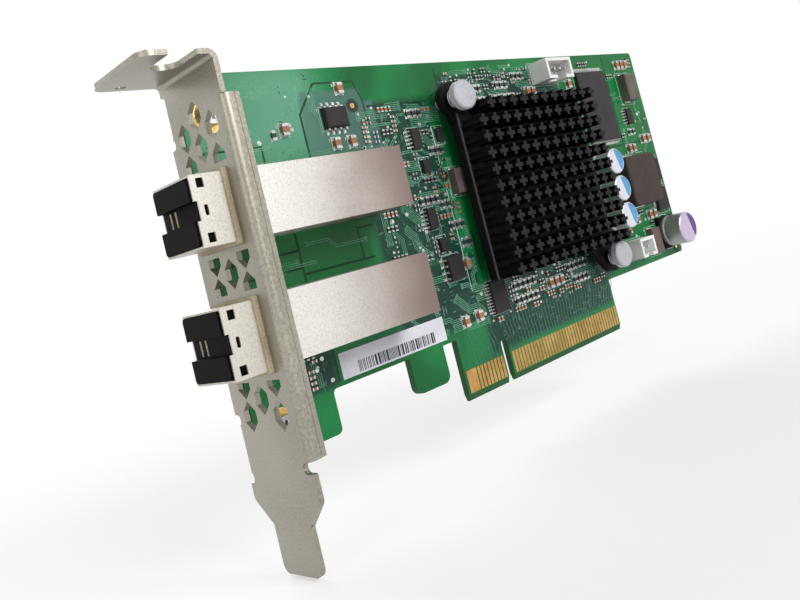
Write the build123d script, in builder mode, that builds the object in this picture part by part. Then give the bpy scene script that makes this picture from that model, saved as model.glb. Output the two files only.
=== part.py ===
from build123d import *
from math import dist, radians, tan
import os

os.makedirs("parts", exist_ok=True)

# Low-profile expander card, in millimetres.
# +X runs from the bracket to the rear of the card, +Z from the edge contacts to the top edge.
# The component face of the board lies at Y = 0 and looks towards -Y.
# The origin is the lowest point of the edge tongue at its bracket end, on the component face.

# Circuit board
board_thickness = 1.57
board_height = 68.90
layout_height = 68.90
board_rear = 87.50
body_bottom = 12.15
board_corner = 1.0
tongue_left = 11.65
key_width = 1.90
tongue_right = 38.65
key_top = 8.00
bevel_height = 1.33
bevel_depth = 0.48
hook_gap = 3.60
hook_width = 8.60
hook_bottom = 5.20
leg_right = -29.50
leg_bottom = 4.70
inner_corner = 0.8
hook_corner = 1.6

# Edge contacts
contact_pitch = 1.00
contact_width = 0.70
contact_top = 5.80
contact_thickness = 0.06
contact_first = 1.15
wide_contact_count = 3

# Bracket
sheet = 0.86
plate_face = -46.20
plate_width = 18.42
bracket_height = 79.20
tab_above_board_top = -0.64
tab_depth = 11.43
bend_radius = 0.70
edge_bend = 0.35
neck_width = 10.19
neck_length = 7.54
taper_height = 3.70
neck_corner = 1.5
slot_width = 4.42
slot_depth = 7.90
slot_from_edge = 6.20
tab_corner = 2.0
tab_pin_hole = 0.80
tab_pin_edge = 1.9
flange_depth = 3.10
flange_bend = 1.20
flange_joggle = 0.28
flange_above_taper = 5.90
flange_below_tab = 5.90
relief_height = 1.70
relief_depth = 2.20
side_relief_depth = 1.40
board_gap = 0.40
ear_reach = 9.80
ear_spans = ((-3.50, 3.60), (-4.80, 2.60))
ear_corner = 1.2
ear_hole = 1.30

# Vents in the plate
vent_column_pitch = 4.50
vent_row_pitch = 5.10
vent_width = 3.70
vent_height = 4.80
vent_margin = 1.45
vent_top_levels = (60.30, 55.20)
vent_bottom_level = 15.90

# Port cages
cage_height = 11.80
cage_width = 10.80
cage_front = -52.00
cage_rear = -12.00
cage_wall = 0.30
upper_port_level = 45.20
lower_port_level = 25.50
window_clearance = 0.20
latch_hole = (1.15, 1.45)
latch_hole_back = 1.55
latch_hole_side = 1.30
middle_slot = (0.60, 1.65)
middle_slot_back = 1.70
mouth_recess_width = 3.00
mouth_recess_depth = 0.60
gasket_thickness = 0.75
gasket_rim = 0.55
fit_gap = 0.10
seam_gap = 0.02

# Port connectors and dust plugs
connector_front = -33.0
connector_rear = -13.0
paddle_slot = (6.8, 1.1)
paddle_depth = 7.0
paddle_levels = (-2.4, 2.4)
port_contact_count = 8
port_contact_pitch = 0.75
port_contact_width = 0.36
port_contact_size = 0.35
plug_proud = 0.35
plug_length = 11.0
plug_recess = 0.90
plug_grip_slot = (3.2, 0.75)
plug_grip_pitch = 1.7
plug_grip_depth = 2.4
plug_corner = 0.6

# Fasteners
screw_layout = ((-40.20, 62.00), (-40.20, 9.40))
screw_shank = 1.20
screw_head = 2.30
screw_head_height = 1.50
screw_recess = 0.60
screw_hole = 1.50
pad_outer = 3.30
pad_thickness = 0.06

# Heat sink and what it cools
sink_layout = (31.20, 39.70)
sink_size = (41.00, 37.20)
sink_base = 2.40
fin_height = 5.80
fin_pitch = 3.45
fin_span = 2.40
fin_arm = 0.80
fin_columns = 12
fin_rows = 11
push_pin_layout = ((11.70, 59.70), (50.30, 17.90))
ear_radius = 3.60
ear_thickness = 1.60
controller_size = 27.0
controller_base = 0.95
controller_cap_size = 24.0
controller_cap = 1.25
pad_size = 22.0
pad_height = 0.50
push_pin_cap = 3.10
push_pin_cap_height = 1.70
push_pin_shank = 1.25
push_pin_hole = 1.50
push_pin_barb = 1.95
push_pin_barb_height = 1.10
spring_wire = 0.45
spring_radius = 1.95
spring_height = 2.20

# Chips: centre x, centre z, body x, body z, body height, leads a side, lead pitch, lead sides
lead_thickness = 0.15
lead_foot = 0.45
lead_reach = 1.00
body_standoff = 0.10
memory_layout = (65.60, 55.00)
memory_body = (12.00, 18.40, 1.00)
memory_leads = (24, 0.50, 0.22)
eight_lead_layout = ((-15.90, 59.10, "ends"), (3.90, 26.00, "sides"))
eight_lead_body = (4.90, 3.90, 1.45)
eight_leads = (4, 1.27, 0.42)
fine_chip_layout = (14.00, 17.60)
fine_chip_body = (4.40, 6.50, 1.00)
fine_chip_leads = (10, 0.65, 0.25)
slim_layout = ((2.20, 53.10), (1.20, 36.70), (78.20, 51.20))
slim_body = (2.20, 4.20, 1.00)
slim_leads = (5, 0.80, 0.30)
flat_layout = ((3.30, 47.20), (2.60, 31.00), (9.00, 53.30))
flat_chip_size = (1.70, 2.90, 0.75)

# Connectors
header_layout = (47.60, 64.60)
header_size = (9.40, 5.00, 5.80)
header_wall = 0.75
header_pins = 4
header_pitch = 2.00
header_pin = 0.50
header_pin_top = 5.20
service_layout = (65.90, 17.00)
service_size = (6.40, 4.80, 4.60)
service_pins = 2
pin_tail = 0.90
pin_hole = 0.45

# Power parts
inductor_layout = (73.40, 33.90)
inductor_size = (13.20, 13.20, 4.00)
inductor_corner = 1.6
can_layout = ((59.20, 33.00),)
can_count = 3
can_gap = 0.55
can_radius = 3.15
can_height = 6.50
can_base = 0.90
can_lip = 0.25
large_can_layout = (82.20, 18.60)
large_can_radius = 4.10
large_can_height = 7.20
large_can_base = 1.00
transistor_layout = ((83.20, 35.60), (83.20, 27.60))
transistor_size = (5.00, 6.00, 1.05)
tantalum_layout = (80.60, 58.90)
tantalum_size = (4.40, 7.20, 2.80)
ferrite_layout = ((10.40, 43.10, 2.60, 5.20), (74.70, 17.40, 3.60, 6.60))
ferrite_height = 1.90

# Chip capacitors and resistors: rows of centre x, centre z, count, step x, step z
capacitor_size = (1.25, 2.00, 0.85)
capacitor_layout = (
    (79.20, 65.60, 3, 1.90, 0.0), (82.60, 44.60, 2, 2.30, 0.0), (76.30, 24.30, 2, 2.10, 0.0),
    (75.10, 42.60, 2, 1.90, 0.0), (-26.90, 57.90, 1, 0.0, 0.0), (-13.20, 64.70, 1, 0.0, 0.0),
    (-16.60, 54.30, 2, 3.60, 0.0), (7.70, 26.10, 1, 0.0, 0.0), (7.60, 15.20, 1, 0.0, 0.0),
    (3.60, 15.00, 1, 0.0, 0.0), (40.20, 60.60, 2, 1.80, 0.0), (56.40, 61.60, 1, 0.0, 0.0),
    (31.00, 16.40, 3, 1.90, 0.0), (63.40, 22.20, 2, 2.00, 0.0), (70.20, 24.10, 1, 0.0, 0.0),
)
rear_capacitor_size = (1.00, 1.80, 0.70)
rear_capacitor_layout = (
    (22.80, 31.60, 6, 3.20, 0.0), (22.80, 36.40, 6, 3.20, 0.0), (22.80, 41.20, 6, 3.20, 0.0),
    (22.80, 46.00, 6, 3.20, 0.0), (61.00, 30.00, 4, 3.60, 0.0), (-34.00, 32.00, 3, 3.20, 0.0),
)
resistor_size = (0.85, 1.60, 0.45)
resistor_layout = (
    (17.50, 59.60, 6, 1.50, 0.0), (18.20, 62.40, 5, 1.50, 0.0), (28.50, 59.80, 5, 1.60, 0.0),
    (30.00, 62.80, 3, 1.60, 0.0), (36.20, 64.60, 3, 1.60, 0.0), (2.00, 58.40, 3, 1.50, 0.0),
    (5.90, 50.20, 3, 1.40, 0.0), (5.20, 38.90, 2, 1.60, 0.0), (6.40, 34.30, 3, 1.50, 0.0),
    (8.60, 30.40, 2, 1.40, 0.0), (19.60, 18.40, 5, 1.60, 0.0), (19.60, 15.20, 5, 1.60, 0.0),
    (38.60, 18.40, 5, 1.60, 0.0), (39.80, 15.20, 4, 1.60, 0.0), (77.40, 47.00, 2, 1.70, 0.0),
    (-29.20, 57.10, 1, 0.0, 0.0), (0.00, 40.40, 4, 1.40, 0.0),
)

# Marks
fiducial_layout = ((-10.90, 61.20), (7.60, 44.70), (84.90, 66.20), (84.90, 13.90))
fiducial_radius = 0.50
fiducial_thickness = 0.06
label_layout = (-14.60, 15.30)
label_size = (24.80, 4.60)
label_thickness = 0.12

# Places that follow from the sizes above


def lifted(level):
    """A height given for the layout's board, moved with the real board's height."""
    share = (board_height - body_bottom) / (layout_height - body_bottom)
    return body_bottom + (level - body_bottom) * share


def lift(layout):
    """Lifts every place of a layout, and keeps what follows its x and z."""
    return tuple((x, lifted(z), *rest) for x, z, *rest in layout)


screw_places = lift(screw_layout)
sink_centre = lift((sink_layout,))[0]
memory_place = lift((memory_layout,))[0]
eight_lead_chips = lift(eight_lead_layout)
fine_chip_place = lift((fine_chip_layout,))[0]
slim_chips = lift(slim_layout)
flat_chips = lift(flat_layout)
header_place = lift((header_layout,))[0]
service_place = lift((service_layout,))[0]
inductor_place = lift((inductor_layout,))[0]
large_can_place = lift((large_can_layout,))[0]
transistor_places = lift(transistor_layout)
tantalum_place = lift((tantalum_layout,))[0]
ferrite_places = lift(ferrite_layout)
capacitor_rows = lift(capacitor_layout)
resistor_rows = lift(resistor_layout)
fiducial_places = lift(fiducial_layout)
rear_capacitor_rows = lift(rear_capacitor_layout)
label_centre = lift((label_layout,))[0]
upper_port = lifted(upper_port_level)
lower_port = lifted(lower_port_level)
vent_top_centres = [lifted(level) for level in vent_top_levels]
vent_bottom_centre = lifted(vent_bottom_level)
can_places = [
    (x, z + (index - (can_count - 1) / 2) * (2 * can_radius + can_gap))
    for x, z in lift(can_layout) for index in range(can_count)
]
ear_heights = [
    (z + low, z + high) for (_, z), (low, high) in zip(screw_places, ear_spans)
]
tongue_end = tongue_left + key_width + tongue_right
plate_back = plate_face + sheet
board_front = plate_back + board_gap
plate_left = board_thickness + sheet
plate_right = plate_left - plate_width
plate_middle = plate_left - plate_width / 2
tab_under = board_height + tab_above_board_top - sheet
tab_top = tab_under + sheet
neck_bottom = tab_top - bracket_height
neck_top = neck_bottom + neck_length
taper_top = neck_top + taper_height
flange_low = taper_top + flange_above_taper
flange_high = tab_under - flange_below_tab
tab_edge = plate_back - tab_depth
cage_middle = -cage_height / 2
sink_bottom = controller_base + controller_cap + pad_height
sink_top = sink_bottom + sink_base
ear_top = sink_bottom + ear_thickness
push_pin_places = lift(push_pin_layout)
solder_face = Plane.XZ.offset(-board_thickness)
ports = {"upper": upper_port, "lower": lower_port}


def finish(piece, name):
    """Labels a finished piece and writes it as one file."""
    piece.part.label = name
    export_step(piece.part, f"parts/{name}.step")


def corners_at(sketch, x=None, y=None):
    """Corners of a sketch that lie at the given place on its own two axes."""
    return [
        corner for corner in sketch.vertices()
        if (x is None or abs(corner.X - x) < 0.001) and (y is None or abs(corner.Y - y) < 0.001)
    ]


def along(count, pitch):
    """Offsets of a centred row."""
    return [(index - (count - 1) / 2) * pitch for index in range(count)]


def row_places(rows):
    """Centres of all chip parts in a list of rows."""
    places = []
    for x, z, count, step_x, step_z in rows:
        places += [(x + index * step_x, z + index * step_z) for index in range(count)]
    return places


# Board: one outline with the tongue, its key notch, the hook and the bracket leg
with BuildPart() as circuit_board:
    with BuildSketch(Plane.XZ) as board_outline:
        with BuildLine():
            Polyline(
                (board_front, leg_bottom), (leg_right, leg_bottom), (leg_right, body_bottom),
                (-hook_gap - hook_width, body_bottom), (-hook_gap - hook_width, hook_bottom),
                (-hook_gap, hook_bottom), (-hook_gap, body_bottom), (0, body_bottom), (0, 0),
                (tongue_end, 0), (tongue_end, body_bottom), (board_rear, body_bottom),
                (board_rear, board_height), (board_front, board_height), close=True,
            )
        make_face()
        fillet(corners_at(board_outline, x=board_rear), board_corner)
        fillet(corners_at(board_outline, y=leg_bottom), board_corner)
        fillet(corners_at(board_outline, y=hook_bottom), hook_corner)
        fillet(corners_at(board_outline, x=leg_right, y=body_bottom), inner_corner)
        with Locations((tongue_left + key_width / 2, key_top / 2)):
            SlotOverall(
                key_top + key_width, key_width, rotation=90, mode=Mode.SUBTRACT
            )
    extrude(amount=-board_thickness)
    for side in (0, 1):
        face_y = side * board_thickness
        inward = 1 - 2 * side
        with BuildSketch(Plane.YZ.offset(-1)):
            with BuildLine():
                Polyline(
                    (face_y, 0), (face_y + inward * bevel_depth, 0),
                    (face_y, bevel_height), close=True,
                )
            make_face()
        extrude(amount=tongue_end + 2, mode=Mode.SUBTRACT)
    with BuildSketch(Plane.XZ):
        with Locations(*screw_places):
            Circle(screw_hole)
        with Locations(*push_pin_places):
            Circle(push_pin_hole)
        for place, count in ((header_place, header_pins), (service_place, service_pins)):
            for step in along(count, header_pitch):
                with Locations((place[0] + step, place[1])):
                    Circle(pin_hole)
    extrude(amount=-board_thickness, mode=Mode.SUBTRACT)
finish(circuit_board, "circuit_board")


def contact_centres(merge):
    """Centre and width of each contact pad along the tongue, in two blocks."""
    pads = []
    for start, length in ((0, tongue_left), (tongue_left + key_width, tongue_right)):
        count = int((length - contact_first / 2) // contact_pitch)
        first = start + (length - (count - 1) * contact_pitch) / 2
        pads += [(first + index * contact_pitch, contact_width) for index in range(count)]
    if merge:
        joined = pads[:wide_contact_count]
        middle = sum(x for x, _ in joined) / wide_contact_count
        width = (wide_contact_count - 1) * contact_pitch + contact_width
        pads = [(middle, width)] + pads[wide_contact_count:]
    return pads


for side_name, plane, merged in (("front", Plane.XZ, True), ("rear", solder_face, False)):
    with BuildPart() as contacts:
        with BuildSketch(plane):
            for x, width in contact_centres(merged):
                with Locations((x, (bevel_height + contact_top) / 2)):
                    Rectangle(width, contact_top - bevel_height)
        extrude(amount=contact_thickness if merged else -contact_thickness)
    finish(contacts, f"edge_contacts_{side_name}")


def vent_centres():
    """Vent columns: the middle one, and two beside it half a row lower and higher."""
    half = vent_row_pitch / 2
    middle_gap = (upper_port + lower_port) / 2
    rows = list(vent_top_centres) + [middle_gap, vent_bottom_centre]
    centres = [(plate_middle, z) for z in rows]
    side_rows = [vent_top_centres[0] - half, vent_top_centres[1] - half]
    side_rows += [middle_gap + half, middle_gap - half]
    side_rows += [vent_bottom_centre + half, vent_bottom_centre - half]
    for side in (-1, 1):
        centres += [(plate_middle + side * vent_column_pitch, z) for z in side_rows]
    return centres


vent_straight = vent_height / 2 - vent_width / 2 * tan(radians(40))
half_cage = cage_width / 2
vent_bands = (
    (upper_port + half_cage + vent_margin, flange_high + 1.5),
    (lower_port + half_cage + vent_margin, upper_port - half_cage - vent_margin),
    (flange_low + 2.5, lower_port - half_cage - vent_margin),
)

# Bracket: one folded sheet
with BuildPart() as bracket:
    with BuildSketch(Plane.XZ.offset(-plate_left)) as side_profile:
        with BuildLine():
            Polyline(
                (tab_edge, tab_under), (plate_face, tab_under), (plate_face, neck_bottom),
                (plate_back, neck_bottom), (plate_back, tab_top), (tab_edge, tab_top),
                close=True,
            )
        make_face()
        fillet(corners_at(side_profile, x=plate_face, y=tab_under), bend_radius)
        fillet(corners_at(side_profile, x=plate_back, y=tab_top), bend_radius + sheet)
    extrude(amount=plate_width)
    # Front view of the plate: taper, tongue and edge reliefs
    with BuildSketch(Plane.YZ.offset(tab_edge - 1)) as front_view:
        neck_left = plate_middle + neck_width / 2
        neck_right = plate_middle - neck_width / 2
        with BuildLine():
            Polyline(
                (plate_left, tab_top + 1), (plate_left, taper_top), (neck_left, neck_top),
                (neck_left, neck_bottom), (neck_right, neck_bottom), (neck_right, neck_top),
                (plate_right, taper_top), (plate_right, tab_top + 1), close=True,
            )
        make_face()
        fillet(corners_at(front_view, y=neck_bottom), neck_corner)
        fillet(corners_at(front_view, y=taper_top), neck_corner)
    extrude(amount=plate_back - tab_edge + 2, mode=Mode.INTERSECT)
    # Side flange: the plate's edge folds back along the ports
    with BuildSketch(Plane.YZ.offset(plate_face - 1)):
        with Locations((plate_right, (flange_low + flange_high) / 2)):
            Rectangle(2 * (sheet + flange_bend), flange_high - flange_low)
    extrude(amount=sheet + 2, mode=Mode.SUBTRACT)
    with BuildSketch(Plane.XY.offset(flange_low)) as flange_profile:
        bead_end = plate_face + sheet + flange_bend
        with BuildLine():
            Polyline(
                (plate_face, plate_right + sheet + flange_bend), (plate_face, plate_right),
                (bead_end, plate_right),
                (bead_end + flange_joggle, plate_right + flange_joggle),
                (plate_face + flange_depth, plate_right + flange_joggle),
                (plate_face + flange_depth, plate_right + flange_joggle + sheet),
                (plate_back, plate_right + flange_joggle + sheet),
                (plate_back, plate_right + sheet + flange_bend), close=True,
            )
        make_face()
        fillet(corners_at(flange_profile, x=plate_face, y=plate_right), flange_bend)
    extrude(amount=flange_high - flange_low)
    # Two ears fold back from the other edge and lie on the solder face
    for low, high in ear_heights:
        with BuildSketch(Plane.YZ.offset(plate_face - 1)):
            with Locations((plate_left, (low + high) / 2)):
                Rectangle(2 * (sheet + bend_radius), high - low)
        extrude(amount=sheet + 2, mode=Mode.SUBTRACT)
        with BuildSketch(Plane.XY.offset(low)) as ear_profile:
            with BuildLine():
                Polyline(
                    (plate_face, plate_left - sheet - bend_radius),
                    (plate_face, plate_left), (plate_face + ear_reach, plate_left),
                    (plate_face + ear_reach, plate_left - sheet),
                    (plate_back, plate_left - sheet),
                    (plate_back, plate_left - sheet - bend_radius), close=True,
                )
            make_face()
            fillet(corners_at(ear_profile, x=plate_face, y=plate_left), sheet + edge_bend)
        extrude(amount=high - low)
    ear_ends = [e for e in bracket.edges().filter_by(Axis.Y)
                if abs(e.center().X - plate_face - ear_reach) < 1e-6]
    fillet(ear_ends, ear_corner)
    # Bend reliefs in both edges
    with BuildSketch(Plane.YZ.offset(plate_face - 1)):
        with Locations((plate_right, flange_low - relief_height / 2)):
            SlotOverall(2 * relief_depth, relief_height)
        relief_levels = (ear_heights[0][0], ear_heights[1][1], ear_heights[1][0])
        for level, step in zip(relief_levels, (-1, 1, -1)):
            with Locations((plate_left, level + step * relief_height / 2)):
                SlotOverall(2 * side_relief_depth, relief_height)
    extrude(amount=sheet + 2, mode=Mode.SUBTRACT)
    # Port windows
    with BuildSketch(Plane.YZ.offset(plate_face - 1)):
        for level in ports.values():
            with Locations((cage_middle, level)):
                RectangleRounded(
                    cage_height + 2 * window_clearance, cage_width + 2 * window_clearance,
                    window_clearance,
                )
    extrude(amount=sheet + 2, mode=Mode.SUBTRACT)
    # Vents, cut short beside the port windows
    with BuildSketch(Plane.YZ.offset(plate_face - 1)) as vents:
        for y, z in vent_centres():
            with BuildLine():
                Polyline(
                    (y - vent_width / 2, z - vent_straight), (y, z - vent_height / 2),
                    (y + vent_width / 2, z - vent_straight),
                    (y + vent_width / 2, z + vent_straight), (y, z + vent_height / 2),
                    (y - vent_width / 2, z + vent_straight), close=True,
                )
            make_face()
        with BuildSketch(Plane.YZ.offset(plate_face - 1), mode=Mode.INTERSECT):
            for low, high in vent_bands:
                with Locations((plate_middle, (low + high) / 2)):
                    Rectangle(plate_width, high - low)
    extrude(amount=sheet + 2, mode=Mode.SUBTRACT)
    # Screw slot and pin hole in the tab
    with BuildSketch(Plane.XY.offset(tab_under - 1)):
        with Locations((tab_edge + slot_from_edge, plate_right)):
            SlotOverall(2 * slot_depth, slot_width, rotation=90)
        with Locations((tab_edge + tab_pin_edge * 2, plate_left - tab_pin_edge)):
            Circle(tab_pin_hole)
    extrude(amount=sheet + 2, mode=Mode.SUBTRACT)
    tab_ends = [e for e in bracket.edges().filter_by(Axis.Z)
                if abs(e.center().X - tab_edge) < 1e-6]
    fillet(tab_ends, tab_corner)
    # Tapped holes in the ears
    with BuildSketch(Plane.XZ.offset(-plate_left - 1)):
        with Locations(*screw_places):
            Circle(ear_hole)
    extrude(amount=sheet + 1.5, mode=Mode.SUBTRACT)
finish(bracket, "bracket")

# Gold pads under the screw heads, one ring on each face of the board
with BuildPart() as ground_pads:
    with BuildSketch(Plane.XZ):
        with Locations(*screw_places):
            Circle(pad_outer)
            Circle(screw_hole, mode=Mode.SUBTRACT)
    extrude(amount=pad_thickness)
finish(ground_pads, "ground_pads")

with BuildPart() as bracket_screws:
    with BuildSketch(Plane.XZ.offset(pad_thickness)):
        with Locations(*screw_places):
            Circle(screw_head)
    extrude(amount=screw_head_height, taper=12)
    with BuildSketch(Plane.XZ.offset(pad_thickness)):
        with Locations(*screw_places):
            Circle(screw_shank)
    extrude(amount=-pad_thickness - board_thickness - sheet)
    with BuildSketch(Plane.XZ.offset(pad_thickness + screw_head_height)):
        for turn in (0, 90):
            with Locations(*screw_places):
                Rectangle(screw_head * 1.1, screw_recess, rotation=turn)
    extrude(amount=-screw_recess, mode=Mode.SUBTRACT)
finish(bracket_screws, "bracket_screws")

# Port cages, gaskets, connectors and dust plugs, one set for each port
inner_height = cage_height - 2 * cage_wall
inner_width = cage_width - 2 * cage_wall
for port, level in ports.items():
    with BuildPart() as cage:
        with BuildSketch(Plane.YZ.offset(cage_front)):
            with Locations((cage_middle, level)):
                Rectangle(cage_height, cage_width)
        extrude(amount=cage_rear - cage_front)
        offset(
            amount=-cage_wall, openings=cage.faces().sort_by(Axis.X)[0], kind=Kind.INTERSECTION
        )
        hole_x = cage_front + latch_hole_back
        hole_z = cage_width / 2 - latch_hole_side
        with BuildSketch(Plane.XZ.offset(-1)):
            with Locations((hole_x, level + hole_z), (hole_x, level - hole_z)):
                Rectangle(*latch_hole)
            with Locations((cage_front + middle_slot_back, level)):
                RectangleRounded(*middle_slot, middle_slot[0] * 0.45)
            with Locations((cage_front, level)):
                Rectangle(2 * mouth_recess_depth, mouth_recess_width)
        extrude(amount=cage_height + 2, mode=Mode.SUBTRACT)
    finish(cage, f"{port}_port_cage")

    with BuildPart() as gasket:
        with BuildSketch(Plane.YZ.offset(plate_face)):
            with Locations((cage_middle, level)):
                RectangleRounded(
                    cage_height + 2 * gasket_rim, cage_width + 2 * gasket_rim, gasket_rim * 0.9
                )
                Rectangle(
                    cage_height + 2 * seam_gap, cage_width + 2 * seam_gap, mode=Mode.SUBTRACT
                )
        extrude(amount=-gasket_thickness)
    finish(gasket, f"{port}_port_gasket")

    with BuildPart() as connector:
        with BuildSketch(Plane.YZ.offset(connector_front)):
            with Locations((cage_middle, level)):
                Rectangle(inner_height - 2 * fit_gap, inner_width - 2 * fit_gap)
        extrude(amount=connector_rear - connector_front)
        with BuildSketch(Plane.YZ.offset(connector_front)):
            for shelf in paddle_levels:
                with Locations((cage_middle + shelf, level)):
                    Rectangle(paddle_slot[1], paddle_slot[0])
        extrude(amount=paddle_depth, mode=Mode.SUBTRACT)
    finish(connector, f"{port}_port_connector")

    with BuildPart() as port_contacts:
        with BuildSketch(Plane.YZ.offset(connector_front + 0.8)):
            for shelf in paddle_levels:
                seat = -paddle_slot[1] / 2 + port_contact_size / 2
                for step in along(port_contact_count, port_contact_pitch):
                    with Locations((cage_middle + shelf + seat, level + step)):
                        Rectangle(port_contact_size, port_contact_width)
        extrude(amount=paddle_depth - 0.8)
    finish(port_contacts, f"{port}_port_contacts")

    plug_front = cage_front - plug_proud
    with BuildPart() as dust_plug:
        with BuildSketch(Plane.YZ.offset(plug_front)):
            with Locations((cage_middle, level)):
                RectangleRounded(
                    inner_height - 2 * fit_gap, inner_width - 2 * fit_gap, plug_corner
                )
        extrude(amount=plug_length)
        # The middle third of the face steps back, as the cage's mouth does
        with BuildSketch(Plane.YZ.offset(plug_front)):
            with Locations((cage_middle, level)):
                Rectangle(inner_height + 1, mouth_recess_width)
        extrude(amount=plug_recess, mode=Mode.SUBTRACT)
        # Two grip slots
        with BuildSketch(Plane.YZ.offset(plug_front + plug_recess)):
            for step in along(2, plug_grip_pitch):
                with Locations((cage_middle + inner_height * 0.22 + step, level)):
                    Rectangle(plug_grip_slot[1], mouth_recess_width * 0.8)
        extrude(amount=plug_grip_depth, mode=Mode.SUBTRACT)
    finish(dust_plug, f"{port}_dust_plug")

# Controller, thermal pad, heat sink
with BuildPart() as controller_base_part:
    with BuildSketch(Plane.XZ):
        with Locations(sink_centre):
            Rectangle(controller_size, controller_size)
    extrude(amount=controller_base)
finish(controller_base_part, "controller_substrate")

with BuildPart() as controller_cap_part:
    with BuildSketch(Plane.XZ.offset(controller_base)):
        with Locations(sink_centre):
            RectangleRounded(controller_cap_size, controller_cap_size, 1.2)
    extrude(amount=controller_cap)
finish(controller_cap_part, "controller_lid")

with BuildPart() as thermal_pad:
    with BuildSketch(Plane.XZ.offset(controller_base + controller_cap)):
        with Locations(sink_centre):
            Rectangle(pad_size, pad_size)
    extrude(amount=pad_height)
finish(thermal_pad, "thermal_pad")


def fin_places():
    """Centres of the heat sink's pins, clear of the two push pins."""
    centres = [
        (sink_centre[0] + step_x, sink_centre[1] + step_z)
        for step_x in along(fin_columns, fin_pitch) for step_z in along(fin_rows, fin_pitch)
    ]
    reach = push_pin_cap + fin_span / 2
    return [
        centre for centre in centres
        if all(dist(centre, place) > reach for place in push_pin_places)
    ]


with BuildPart() as heat_sink:
    with BuildSketch(Plane.XZ.offset(sink_bottom)):
        with Locations(sink_centre):
            RectangleRounded(sink_size[0], sink_size[1], 0.6)
    extrude(amount=sink_base)
    # Ears at two opposite corners, blended into the base by a web
    with BuildSketch(Plane.XZ.offset(sink_bottom)):
        for (x, z), side in zip(push_pin_places, (1, -1)):
            corner_x = sink_centre[0] - side * sink_size[0] / 2
            corner_z = sink_centre[1] + side * sink_size[1] / 2
            with Locations((x, z)):
                Circle(ear_radius)
            with BuildLine():
                Polyline(
                    (corner_x, corner_z - side * 4.0), (x - side * ear_radius * 0.97, z),
                    (x + side * ear_radius * 0.8, z + side * ear_radius * 0.6),
                    (corner_x + side * 9.0, corner_z), close=True,
                )
            make_face()
        with Locations(*push_pin_places):
            Circle(push_pin_hole, mode=Mode.SUBTRACT)
    extrude(amount=ear_thickness)
    with BuildSketch(Plane.XZ.offset(sink_bottom)):
        with Locations(*push_pin_places):
            Circle(push_pin_hole)
    extrude(amount=sink_base, mode=Mode.SUBTRACT)
    # The base steps back from the springs
    with BuildSketch(Plane.XZ.offset(ear_top)):
        with Locations(*push_pin_places):
            Circle(push_pin_cap + 0.3)
    extrude(amount=sink_base, mode=Mode.SUBTRACT)
    # Cross-cut pins, none of them under a push pin's cap
    with BuildSketch(Plane.XZ.offset(sink_top)):
        with Locations(*fin_places()):
            Rectangle(fin_span, fin_arm)
            Rectangle(fin_arm, fin_span)
    extrude(amount=fin_height)
finish(heat_sink, "heat_sink")

# Push pins: cap, shank through ear and board, barb under the board
with BuildPart() as push_pins:
    for x, z in push_pin_places:
        with BuildSketch(Plane.XY.offset(z)) as pin_half:
            cap_low = ear_top + spring_height
            cap_high = cap_low + push_pin_cap_height
            barb_low = board_thickness
            barb_tip = barb_low + push_pin_barb_height
            with BuildLine():
                Polyline(
                    (x, -cap_high), (x + push_pin_cap - 0.3, -cap_high),
                    (x + push_pin_cap, -cap_high + 0.3), (x + push_pin_cap, -cap_low),
                    (x + push_pin_shank, -cap_low), (x + push_pin_shank, barb_low),
                    (x + push_pin_barb, barb_low), (x + push_pin_shank * 0.6, barb_tip),
                    (x, barb_tip), close=True,
                )
            make_face()
        revolve(axis=Axis((x, 0, z), (0, 1, 0)))
finish(push_pins, "push_pins")

# Each coil spring is a sleeve of the coil's own size
with BuildPart() as push_pin_springs:
    with BuildSketch(Plane.XZ.offset(ear_top + seam_gap)):
        with Locations(*push_pin_places):
            Circle(spring_radius + spring_wire / 2)
            Circle(spring_radius - spring_wire / 2, mode=Mode.SUBTRACT)
    extrude(amount=spring_height - 2 * seam_gap)
finish(push_pin_springs, "push_pin_springs")


def lead_profile(body_edge, body_height, outward, upright):
    """A gull-wing lead's section: from the body's side down to its foot on the board."""
    middle = body_standoff + body_height / 2
    knee = lead_reach - lead_foot
    points = [
        (0, middle + lead_thickness / 2), (knee * 0.55, middle + lead_thickness / 2),
        (knee, lead_thickness), (lead_reach, lead_thickness), (lead_reach, 0),
        (knee - lead_thickness, 0), (knee * 0.55 - lead_thickness, middle - lead_thickness / 2),
        (0, middle - lead_thickness / 2),
    ]
    placed = [(body_edge + outward * u, v) for u, v in points]
    return [(-v, u) for u, v in placed] if upright else [(u, -v) for u, v in placed]


def add_leads(x, z, body, leads, arrangement):
    """Two rows of leads, at the body's z ends or at its x sides."""
    count, pitch, width = leads
    upright = arrangement == "ends"
    half = (body[1] if upright else body[0]) / 2
    for outward in (-1, 1):
        edge = (z if upright else x) + outward * half
        if upright:
            planes = [Plane.YZ.offset(x + step) for step in along(count, pitch)]
        else:
            planes = [Plane.XY.offset(z + step) for step in along(count, pitch)]
        with BuildSketch(*planes) as section:
            with BuildLine():
                Polyline(*lead_profile(edge, body[2], outward, upright), close=True)
            make_face()
        extrude(section.sketch, amount=width / 2, both=True)


def add_block(x, z, size, standoff=0.0):
    """A plain block on the component face."""
    with BuildSketch(Plane.XZ.offset(standoff)) as footprint:
        with Locations((x, z)):
            Rectangle(size[0], size[1])
    extrude(footprint.sketch, amount=size[2])


with BuildPart() as memory_chip:
    add_block(*memory_place, memory_body, body_standoff)
    chamfer(memory_chip.faces().sort_by(Axis.Y)[0].edges(), 0.18)
finish(memory_chip, "memory_chip")

with BuildPart() as memory_chip_leads:
    add_leads(*memory_place, memory_body, memory_leads, "ends")
finish(memory_chip_leads, "memory_chip_leads")

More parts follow.
